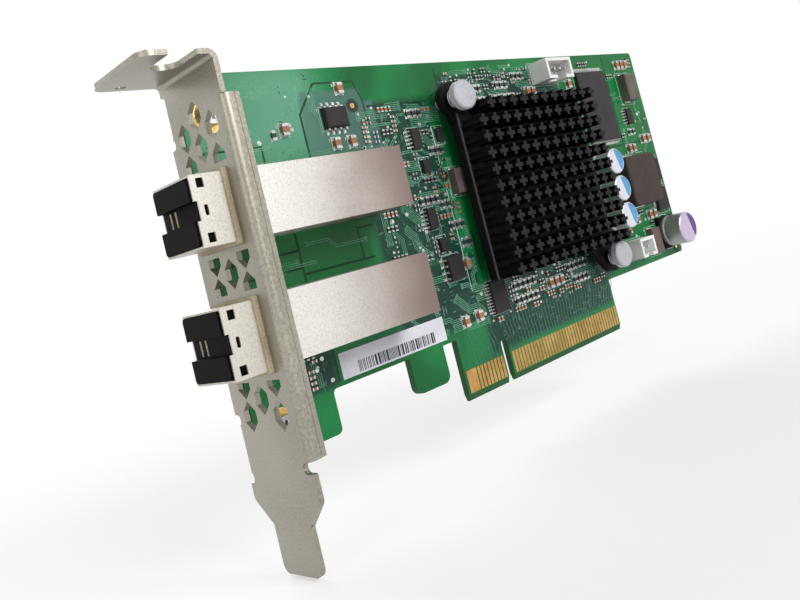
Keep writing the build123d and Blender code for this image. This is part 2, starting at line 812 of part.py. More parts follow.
turned_body = (eight_lead_body[1], eight_lead_body[0], eight_lead_body[2])
with BuildPart() as eight_lead_parts:
    for x, z, arrangement in eight_lead_chips:
        add_block(x, z, eight_lead_body if arrangement == "ends" else turned_body, body_standoff)
    chamfer(eight_lead_parts.faces().filter_by(Axis.Y).sort_by(Axis.Y)[:2].edges(), 0.25)
finish(eight_lead_parts, "eight_lead_chips")

with BuildPart() as eight_lead_chip_leads:
    for x, z, arrangement in eight_lead_chips:
        body = eight_lead_body if arrangement == "ends" else turned_body
        add_leads(x, z, body, eight_leads, arrangement)
finish(eight_lead_chip_leads, "eight_lead_chip_leads")

with BuildPart() as fine_chip:
    add_block(*fine_chip_place, fine_chip_body, body_standoff)
finish(fine_chip, "interface_chip")

with BuildPart() as fine_chip_lead_rows:
    add_leads(*fine_chip_place, fine_chip_body, fine_chip_leads, "sides")
finish(fine_chip_lead_rows, "interface_chip_leads")

with BuildPart() as slim_chip_bodies:
    for x, z in slim_chips:
        add_block(x, z, slim_body, body_standoff)
finish(slim_chip_bodies, "slim_chips")

with BuildPart() as slim_chip_leads:
    for x, z in slim_chips:
        add_leads(x, z, slim_body, slim_leads, "sides")
finish(slim_chip_leads, "slim_chip_leads")

with BuildPart() as leadless_chips:
    for x, z in flat_chips:
        add_block(x, z, flat_chip_size)
finish(leadless_chips, "leadless_chips")


def add_shell(place, size, wall):
    """An open-topped connector housing with a slotted long side."""
    with BuildSketch(Plane.XZ) as outside:
        with Locations(place):
            Rectangle(size[0], size[1])
    extrude(outside.sketch, amount=size[2])
    with BuildSketch(Plane.XZ.offset(wall * 1.6)) as inside:
        with Locations(place):
            Rectangle(size[0] - 2 * wall, size[1] - 2 * wall)
    extrude(inside.sketch, amount=size[2], mode=Mode.SUBTRACT)


def add_pins(place, count, pitch, top):
    """Square pins that run through a housing's floor, its board and a short tail."""
    with BuildSketch(Plane.XZ.offset(-board_thickness - pin_tail)) as pins:
        for step in along(count, pitch):
            with Locations((place[0] + step, place[1])):
                Rectangle(header_pin, header_pin)
    extrude(pins.sketch, amount=board_thickness + pin_tail + top)


connectors = (
    ("fan_header", header_place, header_size, header_pins),
    ("service_connector", service_place, service_size, service_pins),
)
for name, place, size, pins in connectors:
    with BuildPart() as housing:
        add_shell(place, size, header_wall)
        # Polarising notch in the lower long wall
        with BuildSketch(Plane.XZ.offset(size[2] * 0.45)):
            with Locations((place[0], place[1] - size[1] / 2)):
                Rectangle(size[0] * 0.35, 2 * header_wall + 0.2)
        extrude(amount=size[2], mode=Mode.SUBTRACT)
        with BuildSketch(Plane.XZ):
            for step in along(pins, header_pitch):
                with Locations((place[0] + step, place[1])):
                    Rectangle(header_pin + 2 * seam_gap, header_pin + 2 * seam_gap)
        extrude(amount=size[2], mode=Mode.SUBTRACT)
    finish(housing, f"{name}_housing")
    with BuildPart() as header_pin_row:
        add_pins(place, pins, header_pitch, min(header_pin_top, size[2] - 0.8))
    finish(header_pin_row, f"{name}_pins")

with BuildPart() as power_inductor:
    with BuildSketch(Plane.XZ):
        with Locations(inductor_place):
            RectangleRounded(inductor_size[0], inductor_size[1], inductor_corner)
    extrude(amount=inductor_size[2])
    chamfer(power_inductor.faces().sort_by(Axis.Y)[0].edges(), 0.35)
finish(power_inductor, "power_inductor")


def add_can(place, radius, base, height, lip):
    """A can's aluminium cup, with the rolled groove above its base and a raised rim."""
    x, z = place
    with BuildSketch(Plane.XY.offset(z)) as half:
        with BuildLine():
            Polyline(
                (x, -base), (x + radius, -base), (x + radius, -base - 0.7),
                (x + radius - lip, -base - 1.1), (x + radius, -base - 1.5),
                (x + radius, -height + 0.3), (x + radius - 0.3, -height),
                (x + radius - 0.5 - lip, -height + 0.18), (x, -height + 0.18), close=True,
            )
        make_face()
    revolve(half.sketch, axis=Axis((x, 0, z), (0, 1, 0)))


def add_can_base(place, radius, base):
    """The moulded foot under a can: square, with two corners cut off."""
    side = 2 * radius + 0.3
    with BuildSketch(Plane.XZ) as foot:
        with Locations(place):
            Rectangle(side, side)
        right = foot.vertices().sort_by(Axis.X)[-2:]
        chamfer(right, side * 0.16)
    extrude(foot.sketch, amount=base)


with BuildPart() as blue_cans:
    for place in can_places:
        add_can(place, can_radius, can_base, can_height, can_lip)
finish(blue_cans, "small_cans")

with BuildPart() as blue_can_bases:
    for place in can_places:
        add_can_base(place, can_radius, can_base)
finish(blue_can_bases, "small_can_bases")

with BuildPart() as large_can:
    add_can(large_can_place, large_can_radius, large_can_base, large_can_height, can_lip)
finish(large_can, "large_can")

with BuildPart() as large_can_foot:
    add_can_base(large_can_place, large_can_radius, large_can_base)
finish(large_can_foot, "large_can_base")

with BuildPart() as power_transistors:
    for place in transistor_places:
        add_block(*place, transistor_size)
finish(power_transistors, "power_transistors")

with BuildPart() as tantalum_capacitor:
    add_block(*tantalum_place, tantalum_size)
    chamfer(tantalum_capacitor.faces().sort_by(Axis.Y)[0].edges(), 0.35)
finish(tantalum_capacitor, "tantalum_capacitor")

with BuildPart() as ferrite_blocks:
    for x, z, width, length in ferrite_places:
        add_block(x, z, (width, length, ferrite_height))
finish(ferrite_blocks, "ferrite_blocks")

with BuildPart() as chip_capacitors:
    with BuildSketch(Plane.XZ):
        with Locations(*row_places(capacitor_rows)):
            Rectangle(capacitor_size[0], capacitor_size[1])
    extrude(amount=capacitor_size[2])
finish(chip_capacitors, "chip_capacitors")

with BuildPart() as rear_capacitors:
    with BuildSketch(solder_face):
        with Locations(*row_places(rear_capacitor_rows)):
            Rectangle(rear_capacitor_size[0], rear_capacitor_size[1])
    extrude(amount=-rear_capacitor_size[2])
finish(rear_capacitors, "solder_side_capacitors")

with BuildPart() as chip_resistors:
    with BuildSketch(Plane.XZ):
        with Locations(*row_places(resistor_rows)):
            Rectangle(resistor_size[0], resistor_size[1])
    extrude(amount=resistor_size[2])
finish(chip_resistors, "chip_resistors")

with BuildPart() as fiducials:
    with BuildSketch(Plane.XZ):
        with Locations(*fiducial_places):
            Circle(fiducial_radius)
    extrude(amount=fiducial_thickness)
finish(fiducials, "fiducials")

with BuildPart() as label:
    with BuildSketch(Plane.XZ):
        with Locations(label_centre):
            Rectangle(*label_size)
    extrude(amount=label_thickness)
finish(label, "barcode_label")
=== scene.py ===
# %% [markdown]
# # Dressing an expander card
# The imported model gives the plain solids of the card: board, bracket, ports, heat sink and
# chips. This lesson gives each of them its finish, and adds the fine things that a plain
# solid leaves out: copper under the mask, solder pads, printed lines and vias.

# %% Load the frame and remember its box
import random
from functools import reduce
from math import cos, pi, radians, sin

import bpy
from mathutils import Matrix, Vector


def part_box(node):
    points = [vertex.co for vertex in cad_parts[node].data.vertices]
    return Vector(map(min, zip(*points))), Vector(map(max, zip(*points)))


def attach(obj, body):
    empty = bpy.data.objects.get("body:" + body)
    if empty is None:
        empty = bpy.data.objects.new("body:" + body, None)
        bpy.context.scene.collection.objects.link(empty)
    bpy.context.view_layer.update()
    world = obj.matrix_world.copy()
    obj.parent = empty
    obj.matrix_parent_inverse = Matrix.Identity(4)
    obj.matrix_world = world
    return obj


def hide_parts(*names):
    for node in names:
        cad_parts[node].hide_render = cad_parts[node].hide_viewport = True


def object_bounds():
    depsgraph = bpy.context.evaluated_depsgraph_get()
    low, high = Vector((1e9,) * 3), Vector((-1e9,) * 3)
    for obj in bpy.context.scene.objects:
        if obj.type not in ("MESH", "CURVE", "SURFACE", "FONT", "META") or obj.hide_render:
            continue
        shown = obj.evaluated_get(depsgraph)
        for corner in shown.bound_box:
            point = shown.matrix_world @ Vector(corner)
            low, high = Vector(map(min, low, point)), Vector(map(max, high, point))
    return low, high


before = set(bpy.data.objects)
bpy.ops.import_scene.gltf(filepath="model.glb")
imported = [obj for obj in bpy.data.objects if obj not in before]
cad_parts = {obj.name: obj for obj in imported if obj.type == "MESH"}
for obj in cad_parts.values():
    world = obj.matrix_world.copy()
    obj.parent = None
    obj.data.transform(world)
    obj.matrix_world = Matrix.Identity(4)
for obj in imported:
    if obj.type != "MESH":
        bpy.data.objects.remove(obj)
cad_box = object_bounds()
MM = 0.001


def box_of(name):
    """Lowest and highest corner of a node, in millimetres."""
    return [[value / MM for value in corner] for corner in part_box(name)]


def put(name, data):
    """A new object in the scene."""
    made = bpy.data.objects.new(name, data)
    bpy.context.scene.collection.objects.link(made)
    return made


print("nodes in the frame:", len(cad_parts))

# %% [markdown]
# ## Camera
# A product photograph is matched by its camera first. The place, the direction and the lens
# were found by laying the card's known corners over the picture, so the object can stay
# where the CAD put it. The shift moves the picture sideways without turning the camera.

# %% Camera
picture_wide, picture_high = 800, 600
focal_pixels = 836.5
centre_pixels = (524.7, 163.5)
camera_place = Vector((-110.31, -126.71, 33.10)) * MM
camera_back = -Vector((0.748, 0.661, 0.057)).normalized()
camera_right = Vector((0.652, -0.715, -0.252))
camera_right = (camera_right - camera_right.dot(camera_back) * camera_back).normalized()
camera_up = camera_back.cross(camera_right)
camera_data = bpy.data.cameras.new("camera")
camera_data.sensor_width = 36
camera_data.lens = focal_pixels * camera_data.sensor_width / picture_wide
camera_data.shift_x = (picture_wide / 2 - centre_pixels[0]) / picture_wide
camera_data.shift_y = (centre_pixels[1] - picture_high / 2) / picture_wide
camera_data.clip_start = 0.005
camera_data.clip_end = 10
camera = bpy.context.scene.camera = put("camera", camera_data)
camera.matrix_world = Matrix.Translation(camera_place) @ Matrix(
    (camera_right, camera_up, camera_back)).transposed().to_4x4()
print("camera at", [round(v / MM, 1) for v in camera_place])

# %% [markdown]
# ## Shader maths
# Patterns such as copper pours are sums, steps and masks of a few numbers. Written as
# expressions they stay readable, so a small class wraps a socket and each operator adds
# the Math node that it stands for. One function adds every node: its settings first, and
# then the values or links of its sockets.

# %% Sockets that can be added, multiplied and compared


def feed(tree, socket, value):
    """Links a signal or a socket, and writes anything else as a value."""
    source = value.socket if isinstance(value, Signal) else value
    if isinstance(source, bpy.types.NodeSocket):
        tree.links.new(source, socket)
    else:
        socket.default_value = value


def add_node(tree, kind, settings=None, *values, **named):
    """Adds a node, sets it up, and fills its sockets by number or by name."""
    made = tree.nodes.new(kind)
    for name, value in (settings or {}).items():
        setattr(made, name, value)
    for number, value in enumerate(values):
        feed(tree, made.inputs[number], value)
    for name, value in named.items():
        feed(tree, made.inputs[name.replace("_", " ")], value)
    return made


def math_node(operation, swap=False):
    """A method that adds one Math node to the signals that it meets."""
    def method(self, *others):
        values = [self, *others]
        if swap:
            values.reverse()
        return self.finish.node("ShaderNodeMath", {"operation": operation}, *values)
    return method


class Signal:
    """One number that varies over a surface."""

    def __init__(self, finish, socket):
        self.finish = finish
        self.socket = socket

    __add__ = __radd__ = math_node("ADD")
    __mul__ = __rmul__ = math_node("MULTIPLY")
    __sub__ = math_node("SUBTRACT")
    __rsub__ = math_node("SUBTRACT", swap=True)
    __gt__ = math_node("GREATER_THAN")
    __lt__ = math_node("LESS_THAN")
    __abs__ = math_node("ABSOLUTE")
    most = math_node("MAXIMUM")
    root = math_node("SQRT")

    def __neg__(self):
        return self * -1.0


# %% [markdown]
# ## Finishes
# A finish is a material with one principled shader. Colours are mixed with Mix nodes, and
# what is the same all over the surface is written on the shader's own socket.

# %% One class for all finishes


class Finish:
    """A node material on Object coordinates in millimetres."""

    def __init__(self, name, metallic=0.0, roughness=0.5, specular=0.5, scatter=0.0):
        self.material = bpy.data.materials.new(name)
        self.material.use_nodes = True
        self.tree = self.material.node_tree
        self.shader = self.tree.nodes["Principled BSDF"]
        self.set(Metallic=metallic, Roughness=roughness, Specular_IOR_Level=specular,
                 Subsurface_Weight=scatter)
        coordinates = add_node(self.tree, "ShaderNodeTexCoord")
        self.place = add_node(
            self.tree, "ShaderNodeVectorMath", {"operation": "SCALE"},
            coordinates.outputs["Object"], Scale=1 / MM).outputs[0]
        parts = add_node(self.tree, "ShaderNodeSeparateXYZ", {}, self.place)
        self.x, self.y, self.z = (Signal(self, parts.outputs[axis]) for axis in "XYZ")

    def node(self, kind, settings, *values, **named):
        """Adds a node and gives its output: a Signal where it is a number."""
        result = add_node(self.tree, kind, settings, *values, **named).outputs[0]
        return Signal(self, result) if result.type == "VALUE" else result

    def stretched(self, x, y, z):
        """The place, scaled along each axis, for grain that runs one way."""
        return self.node(
            "ShaderNodeVectorMath", {"operation": "MULTIPLY"}, self.place, (x, y, z))

    def noise(self, size, detail=2.0, roughness=0.5, place=None):
        """Noise from 0 to 1 whose patches are about this many millimetres wide."""
        return self.node(
            "ShaderNodeTexNoise", {}, Vector=place or self.place, Scale=1 / size,
            Detail=detail, Roughness=roughness)

    def cells(self, size, place):
        """Distance within diamond cells of about this many millimetres."""
        return self.node(
            "ShaderNodeTexVoronoi", {"distance": "MANHATTAN"}, Vector=place, Scale=1 / size)

    def mix(self, amount, first, second):
        """Mixes two colours, written as a picture shows them, by an amount from 0 to 1."""
        made = add_node(self.tree, "ShaderNodeMix", {"data_type": "RGBA"}, amount)
        for key, colour in ((6, first), (7, second)):
            if isinstance(colour, tuple):
                colour = (*linear(*colour), 1)
            feed(self.tree, made.inputs[key], colour)
        return made.outputs[2]

    def span(self, value, low, high, to_low=0.0, to_high=1.0):
        """Maps a number from one range to another, and keeps it inside."""
        return self.node(
            "ShaderNodeMapRange", {"interpolation_type": "SMOOTHSTEP"}, value, low, high,
            to_low, to_high)

    def fall(self, value, low, high):
        """1 below the range, 0 above it."""
        return self.span(value, low, high, 1.0, 0.0)

    def bump(self, height, depth, strength=0.6):
        """Bumps the surface by a height from 0 to 1, this many millimetres deep."""
        made = add_node(
            self.tree, "ShaderNodeBump", {}, Strength=strength, Distance=depth * MM,
            Height=height)
        self.set(Normal=made.outputs[0])

    def set(self, **sockets):
        """Links or writes sockets of the shader."""
        for name, value in sockets.items():
            feed(self.tree, self.shader.inputs[name.replace("_", " ")], value)

    def wear(self, colour, grain, roughness, bump):
        """Links the colour, and lets one grain vary the roughness and bump the surface."""
        self.set(Base_Color=colour, Roughness=self.span(grain, 0.3, 0.7, *roughness))
        self.bump(grain, bump)


def linear(red, green, blue):
    """A colour as a picture shows it, turned into the renderer's linear light."""
    return tuple(((v / 255 + 0.055) / 1.055) ** 2.4 if v > 10 else v / 255 / 12.92
                 for v in (red, green, blue))


# %% [markdown]
# ## Plain finishes
# Most of the small pieces are one stuff all over: moulded plastic, tinned lead, sheet steel.
# Each still gets the grain, the roughness and the slight bump that light picks up, so one
# helper makes them from two colours and a grain size.

# %% A helper for plain stuffs


def plain(name, dark, light, grain, roughness=(0.4, 0.6), metallic=0.0, bump=0.01,
          patch=6.0, **fixed):
    """Two colours in soft patches under a fine grain."""
    finish = Finish(name, metallic=metallic, **fixed)
    fine = finish.noise(grain, detail=3)
    broad = finish.noise(patch, detail=1)
    amount = finish.span(fine * 0.55 + broad * 0.45, 0.35, 0.65)
    finish.wear(finish.mix(amount, dark, light), fine, roughness, bump)
    return finish.material


# %% Metals
steel = plain(
    "bracket steel", (146, 141, 129), (170, 165, 153), 0.35, (0.28, 0.42), 0.85, 0.012, patch=18)
screw_steel = plain("screw steel", (150, 148, 145), (205, 203, 200), 0.4, (0.25, 0.4), 0.9)
spring_steel = plain("spring steel", (140, 140, 142), (190, 190, 192), 0.3, (0.2, 0.35), 0.9)
tinned = plain("tinned leads", (176, 176, 172), (226, 226, 222), 0.25, (0.22, 0.4), 0.8, 0.008)
solder = plain("solder", (168, 170, 168), (222, 224, 222), 0.3, (0.2, 0.42), 0.8, 0.02)
nickel = plain("nickel lid", (150, 147, 140), (176, 173, 166), 0.8, (0.3, 0.4), 0.9, 0.004)
plated_gold = plain(
    "plated gold", (196, 158, 84), (232, 200, 128), 0.4, (0.25, 0.38), 0.85, 0.006)

# %% Plastics, ceramics and paper
black_plastic = plain(
    "black plastic", (4, 4, 4), (11, 11, 11), 0.25, (0.5, 0.65), bump=0.02, specular=0.1)
chip_plastic = plain(
    "chip moulding", (34, 32, 33), (46, 43, 45), 0.12, (0.5, 0.65), bump=0.012, specular=0.25)
memory_plastic = plain(
    "memory moulding", (42, 40, 42), (54, 51, 54), 0.14, (0.45, 0.6), bump=0.012, specular=0.25)
white_nylon = plain(
    "white nylon", (218, 217, 214), (236, 235, 233), 0.3, (0.35, 0.5), bump=0.012, scatter=0.05)
pin_plastic = plain("push pin plastic", (166, 168, 173), (184, 185, 190), 0.4, (0.35, 0.5))
green_laminate = plain("green laminate", (30, 90, 50), (44, 112, 64), 0.5, (0.5, 0.65))
thermal_grey = plain(
    "thermal pad", (120, 124, 132), (140, 144, 152), 0.5, (0.7, 0.85), bump=0.03)
rubber_tan = plain("tan gasket", (150, 138, 112), (190, 178, 150), 0.3, (0.6, 0.8), bump=0.03)
tantalum = plain("tantalum block", (70, 66, 58), (96, 90, 80), 0.2, (0.4, 0.55), bump=0.012)
ferrite = plain("ferrite", (84, 70, 68), (106, 88, 84), 0.25, (0.55, 0.75), bump=0.03)
capacitor_brown = plain("capacitor ceramic", (132, 88, 56), (166, 116, 78), 0.2, (0.35, 0.5))
resistor_black = plain("resistor glaze", (30, 30, 34), (60, 62, 68), 0.2, (0.25, 0.4))
print("plain finishes:", len(bpy.data.materials))

# %% [markdown]
# ## Anodised heat sink
# The heat sink is an extruded block, cut across and dyed black. Its pins stay dull and very
# dark. A grey painted highlight lies on their tips and along the left edge of the base, and
# bands on the height above the board give that: painted shade down in the channels, painted
# highlight at the tips.

# %% Black anodised finish
sink_low, sink_high = box_of("heat_sink")
tip = -sink_low[1]
pin_height, base_inset = 5.8, 2.6
anodised = Finish("black anodised", metallic=0.1, specular=0.2)
saw = anodised.noise(0.2, detail=3, place=anodised.stretched(1, 1, 4))
# Painted highlight on the pin tips, over painted shade down in the channels.
painted_tip_highlight = anodised.span(-anodised.y, tip - 0.25, tip - 0.02)
base_top = tip - pin_height
base_left = sink_low[0] + base_inset
# Painted highlight along the left edge of the base, just under its top.
painted_rim_highlight = (anodised.span(-anodised.y, base_top - 0.40, base_top - 0.25)
       * anodised.fall(anodised.x, base_left + 0.2, base_left + 0.35)
       * anodised.fall(-anodised.y, base_top, base_top + 0.1)
       * anodised.span(saw, 0.2, 0.6, 0.5, 1.0))
sink_colour_painted_tips = anodised.mix(
    painted_tip_highlight * anodised.span(saw, 0.3, 0.8, 0.3, 0.85), (5, 5, 5), (38, 36, 40))
anodised.wear(anodised.mix(painted_rim_highlight * 0.8, sink_colour_painted_tips, (98, 94, 102)), saw, (0.48, 0.62), 0.015)
print("pin tips at", round(tip, 2), "mm above the board")

# %% [markdown]
# ## Port cages
# The cages are folded from thin nickel silver. In the photograph they are nearly white by
# the bracket and turn warm and pinkish towards the back, where they mirror the room. That is
# painted reflection and shade: a slow blend along X, with a satin grain over it, and painted
# shade on the front beyond the bracket.

# %% Cage metal
cage = Finish("cage metal", metallic=0.55)
grain = cage.noise(0.22, detail=3)
shade = cage.noise(9.0, detail=1)
# Painted reflection and shade: nearly white by the bracket, warm and pinkish towards the back.
rear = cage.span(cage.x + shade * 7, -40.0, -6.0)
# Painted shade on the front of the cages, beyond the bracket.
front = cage.span(cage.x, -49.0, -44.0, 0.7, 0.0)
cage_colour = cage.mix(rear, (236, 233, 227), (128, 108, 100))
cage_colour = cage.mix(front, cage_colour, (198, 194, 180))
cage_colour = cage.mix(
    cage.span(grain, 0.35, 0.75, 0.0, 0.35), cage_colour, (128, 118, 112))
cage.wear(cage_colour, grain, (0.34, 0.5), 0.006)

# %% [markdown]
# ## Edge contacts
# The contacts are hard gold over nickel. They run straight into the slot, so insertions
# leave fine scratches along Z, and the photograph shows them a little dull and orange.

# %% Contact gold
contact_gold = Finish("contact gold", metallic=0.6)
scratch = contact_gold.noise(0.12, detail=2, place=contact_gold.stretched(3, 1, 0.15))
stain = contact_gold.noise(4.0, detail=2)
worn = contact_gold.span(scratch * 0.6 + stain * 0.4, 0.35, 0.65)
contact_gold.wear(
    contact_gold.mix(worn, (164, 116, 56), (212, 170, 104)), scratch, (0.3, 0.46), 0.006)

# %% [markdown]
# ## Dust plugs
# The plugs are moulded in a deep black. In the photograph the walls of the two grip slots
# catch the light, so a tan painted highlight lies behind the front face, between the slots'
# edges.

# %% Black plugs with a painted highlight on the slot walls
slot_middle, slots_half_wide, slots_half_high, recess = 3.04, 1.4, 1.3, 1.0


def plug_plastic(name, node):
    """Black plastic with a tan painted highlight inside the grip slots, which lie towards the
    board.
    """
    low, high = box_of(node)
    finish = Finish(name, roughness=0.55, specular=0.05)
    grain = finish.noise(0.25, detail=3)
    across = abs(finish.y - (high[1] - slot_middle))
    along = abs(finish.z - (low[2] + high[2]) / 2)
    # Painted highlight on the walls of the grip slots.
    painted_slot_highlight = ((across < slots_half_wide) * (along < slots_half_high)
               * (finish.x > low[0] + recess))
    black = finish.mix(grain, (1, 1, 1), (5, 5, 5))
    finish.set(Base_Color=finish.mix(painted_slot_highlight, black, (240, 230, 210)))
    finish.bump(grain, 0.02)
    return finish.material


upper_plug_plastic = plug_plastic("upper plug plastic", "upper_dust_plug")
lower_plug_plastic = plug_plastic("lower plug plastic", "lower_dust_plug")

# %% [markdown]
# ## Can tops and sleeves
# The cups are bare aluminium, and each top carries a printed segment that marks the minus
# side: blue on the three small ones and violet on the large one. The segment is a step in
# the material, about the can's own middle. The small cans stand in one row, so the height
# is wrapped to the row's pitch and one material serves them all.

# %% Aluminium cups with their printed segments


def can_metal(name, node, segment_from, ink, top_tint_painted_light, side_tint_painted_shade, row_pitch):
    """Aluminium with an inked segment on the top, painted light on the top and painted shade on
    the sides.
    """
    low, high = box_of(node)
    radius = (high[0] - low[0]) / 2
    finish = Finish(name)
    brushed = finish.noise(0.2, detail=2, place=finish.stretched(1, 3, 1))
    on_top = finish.span(-finish.y, -low[1] - 0.35, -low[1] - 0.2)
    u = finish.x - (low[0] + high[0]) / 2
    w = finish.z - (low[2] + radius)
    if row_pitch:
        w = finish.node(
            "ShaderNodeMath", {"operation": "WRAP"}, w, row_pitch / 2, -row_pitch / 2)
    inked = on_top * (u + w * 0.25 > segment_from * radius)
    inked = inked * ((u * u + w * w).root() < radius - 0.35)
    # The top is painted lighter than the side: painted light on the top, painted shade on the
    # side.
    base = finish.mix(on_top, side_tint_painted_shade, top_tint_painted_light)
    base = finish.mix(finish.span(brushed, 0.3, 0.7, 0.0, 0.2), base, (140, 140, 146))
    finish.wear(finish.mix(inked, base, ink), brushed, (0.28, 0.42), 0.006)
    finish.set(Metallic=0.6 - inked * 0.5)
    return finish.material


small_can_metal = can_metal(
    "small can metal", "small_cans", segment_from=0.2, ink=(82, 150, 198),
    top_tint_painted_light=(226, 226, 234), side_tint_painted_shade=(206, 206, 210), row_pitch=6.85)
large_can_metal = can_metal(
    "large can metal", "large_can", segment_from=0.42, ink=(92, 58, 128),
    top_tint_painted_light=(204, 188, 214), side_tint_painted_shade=(150, 156, 150), row_pitch=0)

# %% [markdown]
# ## Inductor
# The inductor is pressed iron powder: a dull brown-grey block with a gritty skin and softly
# rounded corners. Coarse and fine noise together make the grit.

# %% Pressed powder
powder = Finish("pressed powder", specular=0.25)
grit = powder.noise(0.22, detail=4, roughness=0.7)
blotch = powder.noise(3.0, detail=2)
rusty = powder.span(grit * 0.7 + blotch * 0.3, 0.35, 0.65)
powder.wear(powder.mix(rusty, (50, 42, 39), (70, 58, 54)), grit, (0.5, 0.72), 0.05)

# %% [markdown]
# ## The board
# Solder mask is a clear green lacquer over copper and laminate. Where copper lies under it
# the green is lighter, and dense areas of tracks look like a fine grey-green weave. The
# material mixes the broad tones of the pours, a weave in the busy zones and the plain cut
# edge. Single tracks, gaps, vias and printed lines are thin geometry further down, because
# they have to follow the parts.

# %% Solder mask over copper
lacquer = 0.3
mask = Finish("solder mask", specular=lacquer)
tone = mask.noise(16.0, detail=1)
base = mask.mix(mask.span(tone, 0.38, 0.62), (6, 92, 42), (18, 122, 62))


def zone(x_low, x_high, z_low, z_high, soft):
    """1 inside a rectangle of the board, fading over its border."""
    return (mask.span(mask.x, x_low - soft, x_low + soft)
            * mask.fall(mask.x, x_high - soft, x_high + soft)
            * mask.span(mask.z, z_low - soft, z_low + soft)
            * mask.fall(mask.z, z_high - soft, z_high + soft))


def any_zone(boxes, soft):
    """1 inside any of several rectangles."""
    return reduce(Signal.most, (zone(*box, soft) for box in boxes))


on_front = mask.fall(mask.y, 0.4, 0.6)
glare = zone(-46.0, -19.0, 50.0, 70.5, 5.0) * mask.span(tone, 0.2, 0.7, 0.5, 1.0) * on_front
base = mask.mix(glare, base, (92, 152, 124))
busy_boxes = (
    (-12.5, 7.6, 28.0, 61.5), (12.0, 52.0, 58.5, 66.0), (9.0, 52.0, 6.8, 21.0),
    (52.0, 62.0, 13.0, 24.0), (-38.0, -28.0, 12.5, 19.0), (-12.0, 10.0, 14.0, 28.0),
)
busy = any_zone(busy_boxes, 1.0) * (on_front * 0.8 + 0.2)
track_x = mask.cells(0.55, mask.stretched(1.0, 0, 0.2))
track_z = mask.cells(0.55, mask.stretched(0.22, 0, 1.0))
choice = mask.span(mask.noise(3.2, detail=0), 0.47, 0.53)
weave = track_x * choice + track_z * (1 - choice)
patchy = mask.span(mask.noise(5.0, detail=1), 0.30, 0.55)
tracks = mask.fall(weave, 0.28, 0.50) * busy * patchy
base = mask.mix(busy * 0.9, base, (8, 46, 40))
base = mask.mix(tracks * 0.8, base, (96, 130, 126))
grey_pour = any_zone(((-22.5, -8.5, 52.5, 64.5), (-10.0, -6.0, 50.0, 62.0)), 0.3) * on_front
base = mask.mix(grey_pour * 0.75, base, (78, 112, 104))
plain_pour = any_zone(((-43.0, -14.5, 31.0, 39.6), (54.0, 87.0, 12.0, 68.5)), 0.3)
base = mask.mix(plain_pour * 0.55, base, (4, 96, 40))
on_edge = mask.span(mask.y, 0.03, 0.09) * mask.fall(mask.y, 1.48, 1.54)
fibre = mask.noise(0.25, detail=3, place=mask.stretched(0.3, 4, 0.3))
edge_colour = mask.mix(fibre, (14, 62, 30), (46, 96, 50))
mask.set(
    Base_Color=mask.mix(on_edge, base, edge_colour),
    Roughness=mask.span(mask.noise(0.5, detail=3), 0.3, 0.7, 0.26, 0.42) + on_edge * 0.3)
mask.bump(tracks, 0.03, 0.5)
print("board finish has", len(mask.tree.nodes), "nodes")

# %% [markdown]
# ## Inks and thin copper
# The thin geometry on the board needs its own stuffs: tracks under the lacquer, the darker
# gaps between pours, white screen print, bare dark laminate round the marks, and the label's
# black bars.

# %% Finishes for what is printed or etched


def thin(name, dark, light, grain=0.6, roughness=(0.28, 0.4), **fixed):
    """A plain finish with hardly any bump, for what is thinner than paper."""
    return plain(name, dark, light, grain, roughness, bump=0.004, **fixed)


track_green = thin(
    "track under mask", (70, 140, 104), (118, 176, 146), patch=9, specular=lacquer)
dim_green = thin(
    "solder side track under mask", (14, 106, 56), (50, 140, 90), patch=9, specular=lacquer)
fan_green = thin("contact track under mask", (44, 92, 76), (72, 116, 100), specular=lacquer)
gap_green = thin(
    "gap between pours", (6, 52, 28), (10, 66, 36), 0.6, (0.3, 0.45), specular=lacquer)
print_white = thin("screen print", (190, 204, 196), (222, 228, 224), 0.3, (0.5, 0.65))
# The dark of a via hole is painted shade.
hole_painted_shade = thin("via hole shade", (8, 30, 20), (18, 48, 32), 0.3, (0.4, 0.6))
bare_dark = thin("bare laminate", (10, 20, 14), (18, 32, 22), 0.4, (0.5, 0.7))
# Black ink for the label's bars, and painted shade for the chips' dimples.
ink_and_dimple_shade = thin("bar ink and dimple shade", (16, 16, 20), (30, 30, 36), 0.4, (0.5, 0.7))
paper = plain("label paper", (206, 206, 214), (222, 222, 230), 0.25, (0.6, 0.75))
print("finishes so far:", len(bpy.data.materials))

# %% [markdown]
# ## Dressing the CAD pieces
# A CAD node whose shape is right stays, and only gets its finish.

